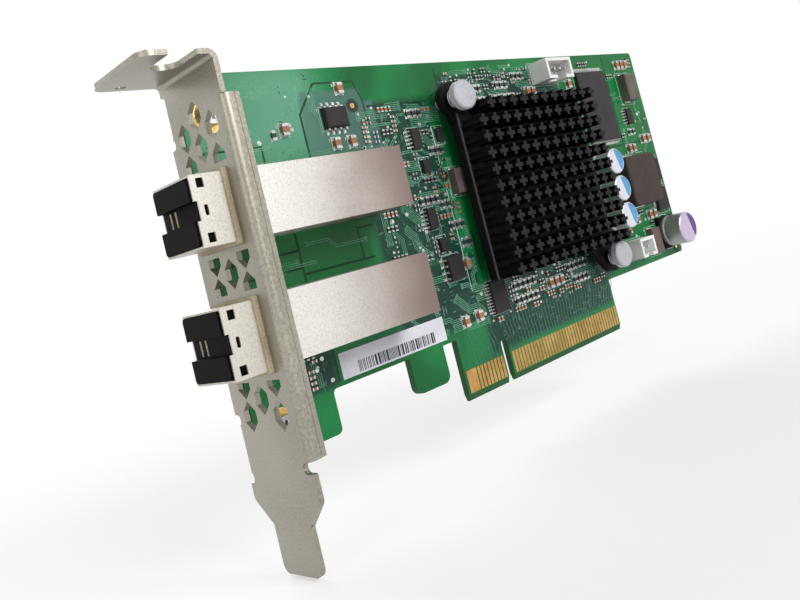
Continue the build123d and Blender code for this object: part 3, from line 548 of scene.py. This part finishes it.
# %% Finishes by node
for finish, names in (
    (mask.material, "circuit_board"),
    (contact_gold.material, "edge_contacts_front edge_contacts_rear"),
    (steel, "bracket"),
    (screw_steel, "bracket_screws"),
    (plated_gold, "ground_pads upper_port_contacts lower_port_contacts fiducials"),
    (cage.material, "upper_port_cage lower_port_cage"),
    (rubber_tan, "upper_port_gasket lower_port_gasket"),
    (black_plastic, "upper_port_connector lower_port_connector"),
    (black_plastic, "small_can_bases large_can_base"),
    (upper_plug_plastic, "upper_dust_plug"),
    (lower_plug_plastic, "lower_dust_plug"),
    (green_laminate, "controller_substrate"),
    (nickel, "controller_lid"),
    (thermal_grey, "thermal_pad"),
    (anodised.material, "heat_sink"),
    (pin_plastic, "push_pins"),
    (spring_steel, "push_pin_springs"),
    (memory_plastic, "memory_chip"),
    (chip_plastic, "eight_lead_chips interface_chip slim_chips leadless_chips"),
    (chip_plastic, "power_transistors"),
    (tinned, "memory_chip_leads eight_lead_chip_leads interface_chip_leads slim_chip_leads"),
    (tinned, "fan_header_pins service_connector_pins"),
    (white_nylon, "fan_header_housing service_connector_housing"),
    (powder.material, "power_inductor"),
    (small_can_metal, "small_cans"),
    (large_can_metal, "large_can"),
    (tantalum, "tantalum_capacitor"),
    (ferrite, "ferrite_blocks"),
    (capacitor_brown, "chip_capacitors solder_side_capacitors"),
    (resistor_black, "chip_resistors"),
    (paper, "barcode_label"),
):
    for name in names.split():
        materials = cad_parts[name].data.materials
        materials.clear()
        materials.append(finish)
dressed = sum(len(node.data.materials) == 1 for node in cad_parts.values())
print("dressed nodes:", dressed, "of", len(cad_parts))

# %% [markdown]
# ## Where the small parts stand
# Every chip, pad and lead of the frame is its own closed shell inside its node. Reading the
# corners of each shell gives the places for solder, end caps and printed outlines, so they
# follow the CAD without a second list of numbers.

# %% Boxes of a node's separate solids


def shells(name):
    """Lowest and highest corner of each separate solid in a node, in millimetres."""
    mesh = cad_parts[name].data
    keys = [tuple(round(c / MM, 3) for c in vertex.co) for vertex in mesh.vertices]
    leader = {}

    def find(key):
        while leader.setdefault(key, key) != key:
            leader[key] = leader[leader[key]]
            key = leader[key]
        return key

    for face in mesh.polygons:
        first, *others = (keys[index] for index in face.vertices)
        for other in others:
            leader[find(other)] = find(first)
    groups = {}
    for key in set(keys):
        groups.setdefault(find(key), []).append(key)
    boxes = []
    for corners in groups.values():
        columns = list(zip(*corners))
        boxes.append((tuple(map(min, columns)), tuple(map(max, columns))))
    return sorted(boxes)


def plan(low, high):
    """A box as it lies on the board: its middle x and z, its width and its length."""
    return (low[0] + high[0]) / 2, (low[2] + high[2]) / 2, high[0] - low[0], high[2] - low[2]


capacitor_boxes = shells("chip_capacitors")
resistor_boxes = shells("chip_resistors")
print("chip capacitors:", len(capacitor_boxes), "chip resistors:", len(resistor_boxes))

# %% [markdown]
# ## Recipes in Geometry Nodes
# Pads, end caps, vias and printed lines are the same small shape hundreds of times. A
# recipe is one node tree with named inputs. It puts a shape on points, or along edges, and
# ends in Realize Instances and Set Material. The result is then kept as a plain mesh.

# %% A small class that builds and applies a tree


class Recipe:
    """A Geometry Nodes tree with a geometry input, named sizes and a material."""

    def __init__(self, name, *sizes):
        self.tree = bpy.data.node_groups.new(name, "GeometryNodeTree")
        for title, way, kind in (
            ("Geometry", "INPUT", "Geometry"), ("Geometry", "OUTPUT", "Geometry"),
            *((size, "INPUT", "Float") for size in sizes), ("Finish", "INPUT", "Material"),
        ):
            self.tree.interface.new_socket(
                name=title, in_out=way, socket_type=f"NodeSocket{kind}")
        self.source = add_node(self.tree, "NodeGroupInput")
        self.sink = add_node(self.tree, "NodeGroupOutput")

    def size(self, name):
        """An input of the tree."""
        return self.source.outputs[name]

    def node(self, kind, settings=None, *values, **named):
        """Adds a node and gives its first output."""
        return add_node(self.tree, kind, settings, *values, **named).outputs[0]

    def close(self, geometry):
        """Ends the tree: real geometry, with its finish."""
        real = self.node("GeometryNodeRealizeInstances", Geometry=geometry)
        done = self.node("GeometryNodeSetMaterial", Geometry=real, Material=self.size("Finish"))
        self.tree.links.new(done, self.sink.inputs[0])
        return self

    def make(self, name, points, finish, edges=(), scales=None, **sizes):
        """Runs the recipe over points in millimetres and keeps the result as a plain mesh."""
        start = bpy.data.meshes.new(name)
        start.from_pydata([Vector(point) * MM for point in points], list(edges), [])
        if scales is not None:
            attribute = start.attributes.new("size", "FLOAT_VECTOR", "POINT")
            for slot, scale in zip(attribute.data, scales):
                slot.vector = Vector(scale) * MM
        seed = put(name, start)
        modifier = seed.modifiers.new("recipe", "NODES")
        modifier.node_group = self.tree
        values = {"Finish": finish, **{size: sizes[size] * MM for size in sizes}}
        for item in self.tree.interface.items_tree:
            if item.in_out == "INPUT" and item.name in values:
                modifier[item.identifier] = values[item.name]
        graph = bpy.context.evaluated_depsgraph_get()
        mesh = bpy.data.meshes.new_from_object(seed.evaluated_get(graph))
        bpy.data.objects.remove(seed)
        print(name, "has", len(mesh.polygons), "faces")
        return put(name, mesh)


def keep(piece):
    """A finished piece rides on the card."""
    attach(piece, "root")


# %% The block recipe: a slightly tapered block on every point, scaled by its own size


def block_recipe(name, sides, taper, back=False):
    """Blocks that stand on the component face, or on the solder face."""
    recipe = Recipe(name)
    turn = -pi / sides
    cone = recipe.node(
        "GeometryNodeMeshCone", {"fill_type": "NGON"}, Vertices=sides,
        Radius_Top=taper * 0.5 / cos(pi / sides), Radius_Bottom=0.5 / cos(pi / sides), Depth=1.0)
    upright = -pi / 2 if back else pi / 2
    stood = recipe.node("GeometryNodeTransform", Geometry=cone, Rotation=(upright, turn, 0))
    size = recipe.node(
        "GeometryNodeInputNamedAttribute", {"data_type": "FLOAT_VECTOR"}, Name="size")
    return recipe.close(recipe.node(
        "GeometryNodeInstanceOnPoints", Points=recipe.size("Geometry"), Instance=stood,
        Scale=size))


caps = block_recipe("end caps", 4, 0.93)
fillets = block_recipe("solder fillets", 4, 0.62)
bars = block_recipe("flat bars", 4, 1.0)
dots = block_recipe("round dots", 16, 0.9)
back_caps = block_recipe("end caps on the solder side", 4, 0.93, back=True)
back_dots = block_recipe("round dots on the solder side", 16, 0.9, back=True)
back_joints = block_recipe("solder joints", 16, 0.45, back=True)


def stand(name, recipe, blocks, finish, level=0.0):
    """Keeps a piece of blocks on a board face, each given as (x, z, size)."""
    points = [(x, level, z) for x, z, _ in blocks]
    keep(recipe.make(name, points, finish, scales=[size for _, _, size in blocks]))


def lie(along_z, *size):
    """The size of a block, with its long side along Z or along X."""
    return size if along_z else size[::-1]


def both_ends(x, z, shift, size, along_z=True):
    """Two equal blocks, this far to each side of a place along Z or along X."""
    size = lie(along_z, *size)
    return [(x, z + side * shift, size) if along_z else (x + side * shift, z, size)
            for side in (-1, 1)]


# %% The line recipe: a flat printed line along every edge
line = Recipe("printed lines", "Width", "Rise")
path = line.node("GeometryNodeMeshToCurve", Mesh=line.size("Geometry"))
half = line.node("ShaderNodeMath", {"operation": "MULTIPLY"}, line.size("Width"), 0.5)
profile = line.node("GeometryNodeCurvePrimitiveCircle", Resolution=6, Radius=half)
tube = line.node("GeometryNodeCurveToMesh", Curve=path, Profile_Curve=profile, Fill_Caps=True)
flatness = line.node("ShaderNodeMath", {"operation": "DIVIDE"}, line.size("Rise"), half)
squeeze = line.node("ShaderNodeCombineXYZ", X=1.0, Y=flatness, Z=1.0)
line.close(line.node("GeometryNodeTransform", Geometry=tube, Scale=squeeze))


def print_lines(name, rows, finish, width, rise, face=0.0):
    """Keeps lines on a board face. A row of points is closed where its last is its first."""
    points, edges = [], []
    for row in rows:
        closed = row[0] == row[-1]
        start, count = len(points), len(row) - closed
        points += [(x, 0, z) for x, z in row[:count]]
        edges += [(start + i, start + (i + 1) % count) for i in range(len(row) - 1)]
    piece = line.make(name, points, finish, edges=edges, Width=width, Rise=rise)
    for vertex in piece.data.vertices:
        vertex.co.y += face * MM
    keep(piece)


def rectangle(low, high, grow):
    """The closed outline of a box on the board, grown on all sides."""
    left, right, under, over = low[0] - grow, high[0] + grow, low[2] - grow, high[2] + grow
    return [(left, under), (right, under), (right, over), (left, over), (left, under)]


# %% [markdown]
# ## End caps and solder of the chip parts
# A ceramic capacitor is a brown body between two tinned ends, and a resistor has the same
# ends on a dark body. Each stands in two solder fillets on its pads.

# %% Tinned ends and fillets


def ends_of(boxes, share, proud):
    """Two end blocks for each chip, whose long side runs along Z."""
    blocks = []
    for low, high in boxes:
        x, z, width, length = plan(low, high)
        reach = length * share
        size = (width + proud, high[1] - low[1] + proud, reach + proud)
        blocks += both_ends(x, z, (length - reach + proud) / 2, size)
    return blocks


stand("capacitor_ends", caps, ends_of(capacitor_boxes, 0.24, 0.05), tinned)
stand("resistor_ends", caps, ends_of(resistor_boxes, 0.26, 0.04), tinned)
pad_margin, bead_height = 0.28, 0.28
blocks = []
for low, high in capacitor_boxes + resistor_boxes:
    x, z, width, length = plan(low, high)
    blocks += both_ends(x, z, length * 0.46, (width + pad_margin, bead_height, length * 0.42))
stand("chip_solder", fillets, blocks, solder)

# %% Solder under the leads
lead_pad, lead_solder_height = 1.25, 0.07
blocks = []
for node in ("memory_chip_leads", "eight_lead_chip_leads", "interface_chip_leads",
             "slim_chip_leads"):
    for low, high in shells(node):
        x, z, width, length = plan(low, high)
        across = min(width, length) + 0.1
        blocks.append((x, z, lie(width > length, lead_pad, lead_solder_height, across)))
stand("lead_solder", fillets, blocks, solder)

# %% Pads that show beside the larger parts
pad_height, pad_under = 0.22, 0.12
blocks = []
for node, along_z, share, deep in (
    ("power_transistors", False, 0.7, 0.8), ("tantalum_capacitor", True, 0.65, 0.55),
    ("ferrite_blocks", True, 0.8, 0.45), ("leadless_chips", True, 0.8, 0.35),
    ("power_inductor", True, 0.35, 0.6),
):
    for low, high in shells(node):
        x, z, across, along = plan(low, high)
        if not along_z:
            across, along = along, across
        blocks += both_ends(x, z, (along + deep) / 2 - pad_under,
                            (across * share, pad_height, deep), along_z)
stand("large_part_solder", fillets, blocks, solder)

# %% [markdown]
# ## Solder side
# The far face carries its own ceramic capacitors under the controller, and the joints of
# the two pin headers: each pin stands in a small cone of solder. The caps and the cones are
# the same blocks as before, turned to stand on the other face.

# %% Ends and joints on the far face
solder_level = box_of("circuit_board")[1][1]
stand("solder_side_ends", back_caps, ends_of(shells("solder_side_capacitors"), 0.24, 0.05),
      tinned, solder_level)
joint_size = (1.5, 0.7, 1.5)
joints = [(*plan(low, high)[:2], joint_size)
          for low, high in shells("fan_header_pins") + shells("service_connector_pins")]
stand("header_joints", back_joints, joints, solder, solder_level)

# %% [markdown]
# ## Coil springs
# Each push pin is pulled by a small coil spring of round wire. The CAD has a sleeve of the
# same size there, which is light to handle. A spiral swept with a circle gives the real
# coil, so the recipe takes radius, height and wire from the sleeve and replaces it.

# %% The coil recipe
coil = Recipe("coil springs", "Radius", "Height", "Wire")
spiral = coil.node(
    "GeometryNodeCurveSpiral", Resolution=28, Rotations=3.5, Start_Radius=coil.size("Radius"),
    End_Radius=coil.size("Radius"), Height=coil.size("Height"))
wire = coil.node("GeometryNodeCurvePrimitiveCircle", Resolution=10, Radius=coil.size("Wire"))
swept = coil.node("GeometryNodeCurveToMesh", Curve=spiral, Profile_Curve=wire, Fill_Caps=True)
risen = coil.node("GeometryNodeTransform", Geometry=swept, Rotation=(pi / 2, 0, 0))
coil.close(coil.node(
    "GeometryNodeInstanceOnPoints", Points=coil.size("Geometry"), Instance=risen))
sleeves = shells("push_pin_springs")
wire_radius = 0.2
sleeve_low, sleeve_high = sleeves[0]
coils = coil.make(
    "coil_springs",
    [((low[0] + high[0]) / 2, high[1] - wire_radius, (low[2] + high[2]) / 2)
     for low, high in sleeves],
    spring_steel, Radius=(sleeve_high[0] - sleeve_low[0]) / 2 - wire_radius,
    Height=sleeve_high[1] - sleeve_low[1] - 2 * wire_radius, Wire=wire_radius)
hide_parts("push_pin_springs")
keep(coils)

# %% [markdown]
# ## What stands on the board
# Tracks and printed lines may pass under a part, but loose small parts may not stand in
# another one. The boxes of everything that touches the component face are kept in a list,
# and a place is free when it clears them all.

# %% Free places
on_board = []
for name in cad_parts:
    if name in ("circuit_board", "heat_sink", "push_pin_springs", "fiducials"):
        continue
    for low, high in shells(name):
        if low[1] < -0.1 and high[1] > -0.2:
            on_board.append((low[0], high[0], low[2], high[2]))
print("boxes on the component face:", len(on_board))


def is_free(x, z, half_x, half_z, gap=0.25):
    """Whether a small box clears every box on the board."""
    for x_low, x_high, z_low, z_high in on_board:
        if (x_low - gap < x + half_x and x - half_x < x_high + gap
                and z_low - gap < z + half_z and z - half_z < z_high + gap):
            return False
    return True


# %% [markdown]
# ## Small parts in the busy zones
# The photograph shows many more tiny resistors and capacitors than one can count. They stand
# in short rows, some turned. Rows are tried at places from a fixed seed and kept where the
# board is free, so the layout is the same every time.

# %% Rows of tiny parts
chance = random.Random(23)
tiny_zones = (
    (-10.5, 9.5, 28.0, 60.0, 44), (13.5, 43.0, 59.0, 66.5, 30), (11.0, 51.0, 12.8, 20.0, 34),
    (53.0, 64.0, 14.0, 24.0, 9), (-43.0, -31.0, 13.0, 19.0, 4), (55.0, 86.0, 44.0, 67.0, 9),
    (67.0, 78.0, 20.0, 26.5, 3),
)
tiny_width, tiny_length, tiny_height, tiny_pitch = 0.50, 1.00, 0.36, 0.95
tries_per_row, upright_share, brown_share = 6, 0.6, 0.45
tiny = []
for x_low, x_high, z_low, z_high, rows in tiny_zones:
    for _ in range(rows * tries_per_row):
        if rows == 0:
            break
        count = chance.choice((1, 2, 2, 3, 4))
        upright = chance.random() < upright_share
        x, z = chance.uniform(x_low, x_high), chance.uniform(z_low, z_high)
        brown = chance.random() < brown_share
        half_x, half_z = tiny_width / 2, tiny_length / 2
        if not upright:
            half_x, half_z = half_z, half_x
        row = [(x + i * tiny_pitch * upright, z + i * tiny_pitch * (not upright))
               for i in range(count)]
        if all(u < x_high and w < z_high and is_free(u, w, half_x, half_z)
               for u, w in row):
            for u, w in row:
                tiny.append((u, w, upright, brown))
                on_board.append((u - half_x, u + half_x, w - half_z, w + half_z))
            rows -= 1

for brown, finish, name, slot in (
    (True, capacitor_brown, "tiny_capacitors", "capacitor_brown"),
    (False, resistor_black, "tiny_resistors", "resistor_black"),
):
    blocks = [(x, z, lie(upright, tiny_width, tiny_height, tiny_length))
              for x, z, upright, is_brown in tiny if is_brown == brown]
    stand(name, bars, blocks, finish)
cap_length, cap_proud = 0.26, 0.06
cap_size = (tiny_width + cap_proud, tiny_height + cap_proud / 2, cap_length)
blocks = [block for x, z, upright, _ in tiny
          for block in both_ends(x, z, tiny_length / 2 - 0.10, cap_size, upright)]
stand("tiny_ends", caps, blocks, tinned)

# %% [markdown]
# ## Test pads
# Round tinned pads for the test needles lie between the parts. They are bright specks in
# the photograph, and they are placed the same way as the tiny parts. The straight dotted
# columns beside the chips are rows of open vias, so they get their places from a count.

# %% Tinned dots
pad_rise, fence_pitch, fence_pad = 0.035, 0.95, 0.42
pads = []
for x_low, x_high, z_low, z_high, wanted in (
    (-11.5, 10.0, 28.0, 61.0, 60), (12.5, 52.0, 58.5, 67.5, 40), (9.0, 52.0, 12.8, 21.0, 50),
    (53.0, 86.5, 12.8, 67.5, 40), (-43.5, -28.0, 12.8, 19.0, 12), (-43.5, -14.0, 52.0, 67.5, 8),
):
    for _ in range(wanted):
        x, z = chance.uniform(x_low, x_high), chance.uniform(z_low, z_high)
        across = chance.choice((0.5, 0.6, 0.8))
        if is_free(x, z, across / 2, across / 2, 0.12):
            pads.append((x, z, (across, pad_rise, across)))
for x, z_start, count in ((-8.6, 31.0, 30), (-2.6, 44.5, 16), (6.8, 45.0, 16), (10.2, 24.0, 12)):
    for i in range(count):
        z = z_start + i * fence_pitch
        if is_free(x, z, 0.2, 0.2, 0.1):
            pads.append((x, z, (fence_pad, pad_rise, fence_pad)))
stand("test_pads", dots, pads, tinned)

# %% [markdown]
# ## Tracks and vias
# Tracks run in bundles: parallel lines that bend by 45 degrees together and end in vias. A
# bundle is worked out as one middle line and its offsets, with mitred corners. The fan from
# the edge contacts is exact: one track for each contact, rising and leaning away.

# %% Bundles of tracks


def bundle(start, legs, count, pitch):
    """Parallel lines with mitred bends, from legs of (angle, length)."""
    middle_line = [Vector(start)]
    normals = []
    for angle, length in legs:
        step = Vector((cos(radians(angle)), sin(radians(angle))))
        middle_line.append(middle_line[-1] + step * length)
        normals.append(Vector((-step.y, step.x)))
    lines = []
    for index in range(count):
        aside = (index - (count - 1) / 2) * pitch
        points = []
        for i, point in enumerate(middle_line):
            before = normals[max(i - 1, 0)]
            after = normals[min(i, len(normals) - 1)]
            mitre = (before + after) / (1 + before.dot(after))
            points.append(tuple(point + mitre * aside))
        lines.append(points)
    return lines


def cells_under(lines, pitch=0.3):
    """The small squares of the board that some lines run over."""
    under = set()
    for row in lines:
        for start, end in zip(row, row[1:]):
            steps = max(1, int(max(abs(end[0] - start[0]), abs(end[1] - start[1])) / pitch * 2))
            for i in range(steps + 1):
                x = start[0] + (end[0] - start[0]) * i / steps
                z = start[1] + (end[1] - start[1]) * i / steps
                under.add((round(x / pitch), round(z / pitch)))
    return under


track_pitch, track_width, track_rise = 0.38, 0.16, 0.012
tries_per_bundle = 30


def track_lines(zones, seed, reach=1.0):
    """Bundles from a fixed seed, kept where they stay in their zone and cross no other."""
    chance = random.Random(seed)
    lines, used = [], set()
    for x_low, x_high, z_low, z_high, wanted, most in zones:
        for _ in range(wanted * tries_per_bundle):
            if wanted == 0:
                break
            first = chance.choice((0, 45, 90, 135, 180, 270))
            turn = chance.choice((-45, 45))
            legs = [(first, chance.uniform(1.5, 7) * reach),
                    (first + turn, chance.uniform(0.8, 2.5) * reach),
                    (first, chance.uniform(1.5, 6) * reach)]
            start = (chance.uniform(x_low, x_high), chance.uniform(z_low, z_high))
            made = bundle(start, legs, chance.randint(2, most), track_pitch)
            inside = all(x_low < x < x_high and z_low < z < z_high
                         for row in made for x, z in row)
            under = cells_under(made) if inside else set()
            if inside and not under & used:
                lines += made
                used |= under
                wanted -= 1
    return lines


front_zones = (
    (-11.5, 11.0, 28.0, 61.0, 70, 6), (12.0, 54.0, 58.8, 67.5, 30, 5),
    (1.0, 52.0, 14.5, 21.5, 30, 6), (53.0, 86.5, 12.8, 67.5, 22, 3),
    (-43.5, -13.5, 51.5, 68.0, 10, 4), (-43.5, -28.0, 13.0, 19.0, 6, 3),
    (-43.5, -13.0, 31.2, 39.4, 3, 2), (-12.5, 12.0, 13.0, 28.0, 24, 5),
)
front_lines = track_lines(front_zones, 5)
fan_middle, fan_spread = 26.0, 0.06
contact_lines = []
for low, high in shells("edge_contacts_front"):
    x = plan(low, high)[0]
    lean = (x - fan_middle) * fan_spread
    contact_lines.append([(x, high[2] - 0.1), (x, high[2] + 2.6), (x + lean, 11.4),
                          (x + lean, 13.2 + abs(lean))])
back_zones = ((-33.0, 86.0, 13.0, 68.0, 44, 5), (2.0, 50.0, 7.5, 24.0, 14, 6))
back_lines = track_lines(back_zones, 9, reach=2.4)
back_lines += track_lines(((-33.0, 86.0, 13.0, 68.0, 26, 3),), 10, reach=0.8)
for name, rows, finish, width, face in (
    ("front_tracks", front_lines, track_green, track_width, 0.0),
    ("contact_tracks", contact_lines, fan_green, 0.22, 0.0),
    ("back_tracks", back_lines, dim_green, track_width, solder_level),
):
    print_lines(name, rows, finish, width, track_rise, face)

# %% Vias at the ends of the tracks


def via_pieces(name, rows, recipe, level, seed):
    """A ring of plated mask, and a dark disc of painted shade for the hole, at the ends of some
    tracks.
    """
    chance = random.Random(seed)
    ends = [row[side] for row in rows for side in (0, -1) if chance.random() < 0.7]
    for part, across, rise, finish in (("rings", 0.52, 0.018, track_green),
                                       ("holes", 0.27, 0.026, hole_painted_shade)):
        blocks = [(*end, (across, rise, across)) for end in ends]
        stand(f"{name}_{part}", recipe, blocks, finish, level)


via_pieces("front_vias", front_lines, dots, 0.0, 3)
via_pieces("back_vias", back_lines, back_dots, solder_level, 4)

# %% [markdown]
# ## Gaps between the pours
# Where two areas of copper meet, a thin dark line of laminate shows through the lacquer. The
# photograph has a long upright one between the ports, crossed by level ones.

# %% Pour gaps
gap_rows = [
    [(-29.6, 31.0), (-29.6, 39.7)], [(-43.8, 36.6), (-29.6, 36.6)],
    [(-43.8, 33.6), (-29.6, 33.6)], [(-29.6, 32.4), (-14.0, 32.4)],
    [(-16.6, 32.4), (-16.6, 38.2), (-13.0, 38.2)],
    [(-32.0, 51.0), (-32.0, 55.4), (-43.8, 55.4)], [(-22.8, 51.0), (-22.8, 60.4), (-18.6, 66.0)],
    [(-18.6, 66.0), (-9.6, 66.0), (-8.2, 62.0), (-8.2, 51.0)],
    [(12.2, 67.8), (12.2, 63.0), (7.8, 60.8), (-7.6, 60.8)],
    [(53.2, 68.0), (53.2, 60.0), (57.8, 56.0), (57.8, 44.0)],
    [(57.8, 44.0), (86.6, 44.0)], [(73.4, 44.0), (73.4, 68.0)], [(54.4, 12.8), (54.4, 24.0)],
    [(54.4, 24.8), (66.0, 24.8)], [(-12.4, 19.6), (0.4, 19.6), (0.4, 12.8)],
    [(-27.8, 13.0), (-27.8, 19.8)], [(11.4, 24.0), (11.4, 33.0)],
]
print_lines("pour_gaps", gap_rows, gap_green, 0.42, 0.008)
print("gaps:", len(gap_rows))

# %% [markdown]
# ## Screen print
# White lines frame the chips, the cans and the rows of small parts, and a tick marks the
# first lead. The frames are grown from the boxes of the parts, so they fit them exactly.

# %% White frames and ticks
line_width, line_rise = 0.15, 0.02
frames = []
for name, grow in (
    ("memory_chip", 0.5), ("eight_lead_chips", 0.35), ("interface_chip", 0.35),
    ("slim_chips", 0.3), ("leadless_chips", 0.55), ("ferrite_blocks", 0.6),
    ("tantalum_capacitor", 0.8), ("power_inductor", 0.7), ("fan_header_housing", 0.35),
    ("service_connector_housing", 0.35), ("chip_capacitors", 0.3), ("power_transistors", 0.9),
):
    for low, high in shells(name):
        frames.append(rectangle(low, high, grow))
        x, z = low[0] - grow - 0.35, high[2] + grow - 0.9
        frames.append([(x, z), (x, z + 0.6)])
for name in ("small_can_bases", "large_can_base"):
    for low, high in shells(name):
        x, z, width, _ = plan(low, high)
        radius = width / 2 + 0.45
        turns = [radians(degrees) for degrees in (*range(0, 360, 15), 0)]
        frames.append([(x + radius * cos(a), z + radius * sin(a)) for a in turns])
beside_sink = sink_low[0] - 0.6
frames.append([(beside_sink, sink_low[2] + 6.0), (beside_sink, sink_high[2] - 8.0)])
back_frames = [rectangle(low, high, 0.3) for low, high in shells("solder_side_capacitors")]
for name, rows, face in (("printed_frames", frames, 0.0),
                         ("back_frames", back_frames, solder_level)):
    print_lines(name, rows, print_white, line_width, line_rise, face)

# %% [markdown]
# ## Marks
# Each gold fiducial sits in a round opening of bare dark laminate, so that a camera on the
# assembly line finds it. Each chip has a small dimple by its first lead, drawn as a dark dot of
# painted shade.

# %% Openings, dimples and the label's bars
openings = [(*plan(low, high)[:2], (2.7, 0.03, 2.7)) for low, high in shells("fiducials")]
stand("fiducial_openings", dots, openings, bare_dark)
places, scales = [], []
for name, size in (("memory_chip", 1.0), ("eight_lead_chips", 0.6), ("interface_chip", 0.5),
                   ("slim_chips", 0.4)):
    for low, high in shells(name):
        places.append((low[0] + size * 1.1, low[1] + 0.01, high[2] - size * 1.1))
        scales.append((size, 0.03, size))
# Painted shade in each chip's dimple.
keep(dots.make("chip_dimple_shade", places, ink_and_dimple_shade, scales=scales))
label_low, label_high = box_of("barcode_label")
chance = random.Random(31)
bar_rows = []
cursor = label_low[0] + 3.6
while cursor < label_high[0] - 3.0:
    width = chance.choice((0.14, 0.14, 0.28, 0.42))
    bar_rows.append((cursor + width / 2, label_low[2] + 1.35, (width, 0.02, 2.0)))
    cursor += width + chance.choice((0.16, 0.16, 0.3))
stand("label_bars", bars, bar_rows, ink_and_dimple_shade, label_low[1])
print("label bars:", len(bar_rows))

# %% [markdown]
# ## Stage and light
# A white sheet lies under the card. Near the card half of it is plain paper that takes the
# shadow. Further out it glows more and more, but only for the camera and for reflections,
# until it is as white as the world behind it, so no horizon shows and the card gets no
# extra light. The lamps stand in front of the component face, so the cages are bright and
# the bracket's plate, which looks away from them, stays grey as in the photograph.

# %% The sheet, white for the camera and for mirrors


def seen_rays(tree):
    """1 for rays of the camera and of reflections, 0 for the light that falls on things."""
    ways = add_node(tree, "ShaderNodeLightPath").outputs
    shown = ways["Is Camera Ray"]
    for way in ("Is Glossy Ray", "Is Transmission Ray"):
        shown = add_node(
            tree, "ShaderNodeMath", {"operation": "MAXIMUM"}, shown, ways[way]).outputs[0]
    return shown


sheet = Finish("white sheet", roughness=0.9)
sheet.set(Base_Color=(0.90, 0.90, 0.90, 1))
near, far, near_glow = 60.0, 420.0, 0.55
away = (sheet.x * sheet.x + sheet.y * sheet.y).root()
glow = add_node(sheet.tree, "ShaderNodeEmission")
share = Signal(sheet, seen_rays(sheet.tree)) * sheet.span(away, near, far, near_glow, 1.0)
blend = add_node(sheet.tree, "ShaderNodeMixShader", {}, share, sheet.shader.outputs[0],
                 glow.outputs[0])
sheet.tree.links.new(blend.outputs[0], sheet.tree.nodes["Material Output"].inputs["Surface"])
floor_height = cad_box[0][2] - 0.5 * MM
reach = 3.0
sheet_mesh = bpy.data.meshes.new("floor")
sheet_mesh.from_pydata(
    [(x * reach, y * reach, floor_height) for x, y in ((-1, -1), (1, -1), (1, 1), (-1, 1))],
    [], [(0, 1, 2, 3)])
sheet_mesh.materials.append(sheet.material)
put("floor", sheet_mesh)
print("sheet at", round(floor_height / MM, 2), "mm")

# %% The world: white to look at, softer as light
studio = bpy.data.worlds.new("studio")
bpy.context.scene.world = studio
studio.use_nodes = True
sky = studio.node_tree.nodes["Background"]
world_light = 0.34
strength = add_node(
    studio.node_tree, "ShaderNodeMath", {"operation": "MULTIPLY_ADD"},
    seen_rays(studio.node_tree), 1.0 - world_light, world_light)
studio.node_tree.links.new(strength.outputs[0], sky.inputs["Strength"])
sky.inputs["Color"].default_value = (1, 1, 1, 1)
print("world light", world_light)

# %% Lamps


def lamp(name, place, target, size, watts):
    """A square soft box that looks at a point."""
    data = bpy.data.lights.new(name, "AREA")
    data.size = size
    data.energy = watts
    made = put(name, data)
    made.location = place
    made.rotation_euler = (Vector(target) - Vector(place)).to_track_quat("-Z", "Y").to_euler()


card_middle = (0.02, 0.0, 0.035)
lamp("key", (0.05, -0.85, 0.50), card_middle, 0.5, 6.6)
lamp("side", (-0.80, -0.25, 0.35), card_middle, 0.5, 1.0)
lamp("back", (0.10, 0.80, 0.50), card_middle, 0.6, 6.0)

bpy.context.scene.view_settings.view_transform = "Standard"
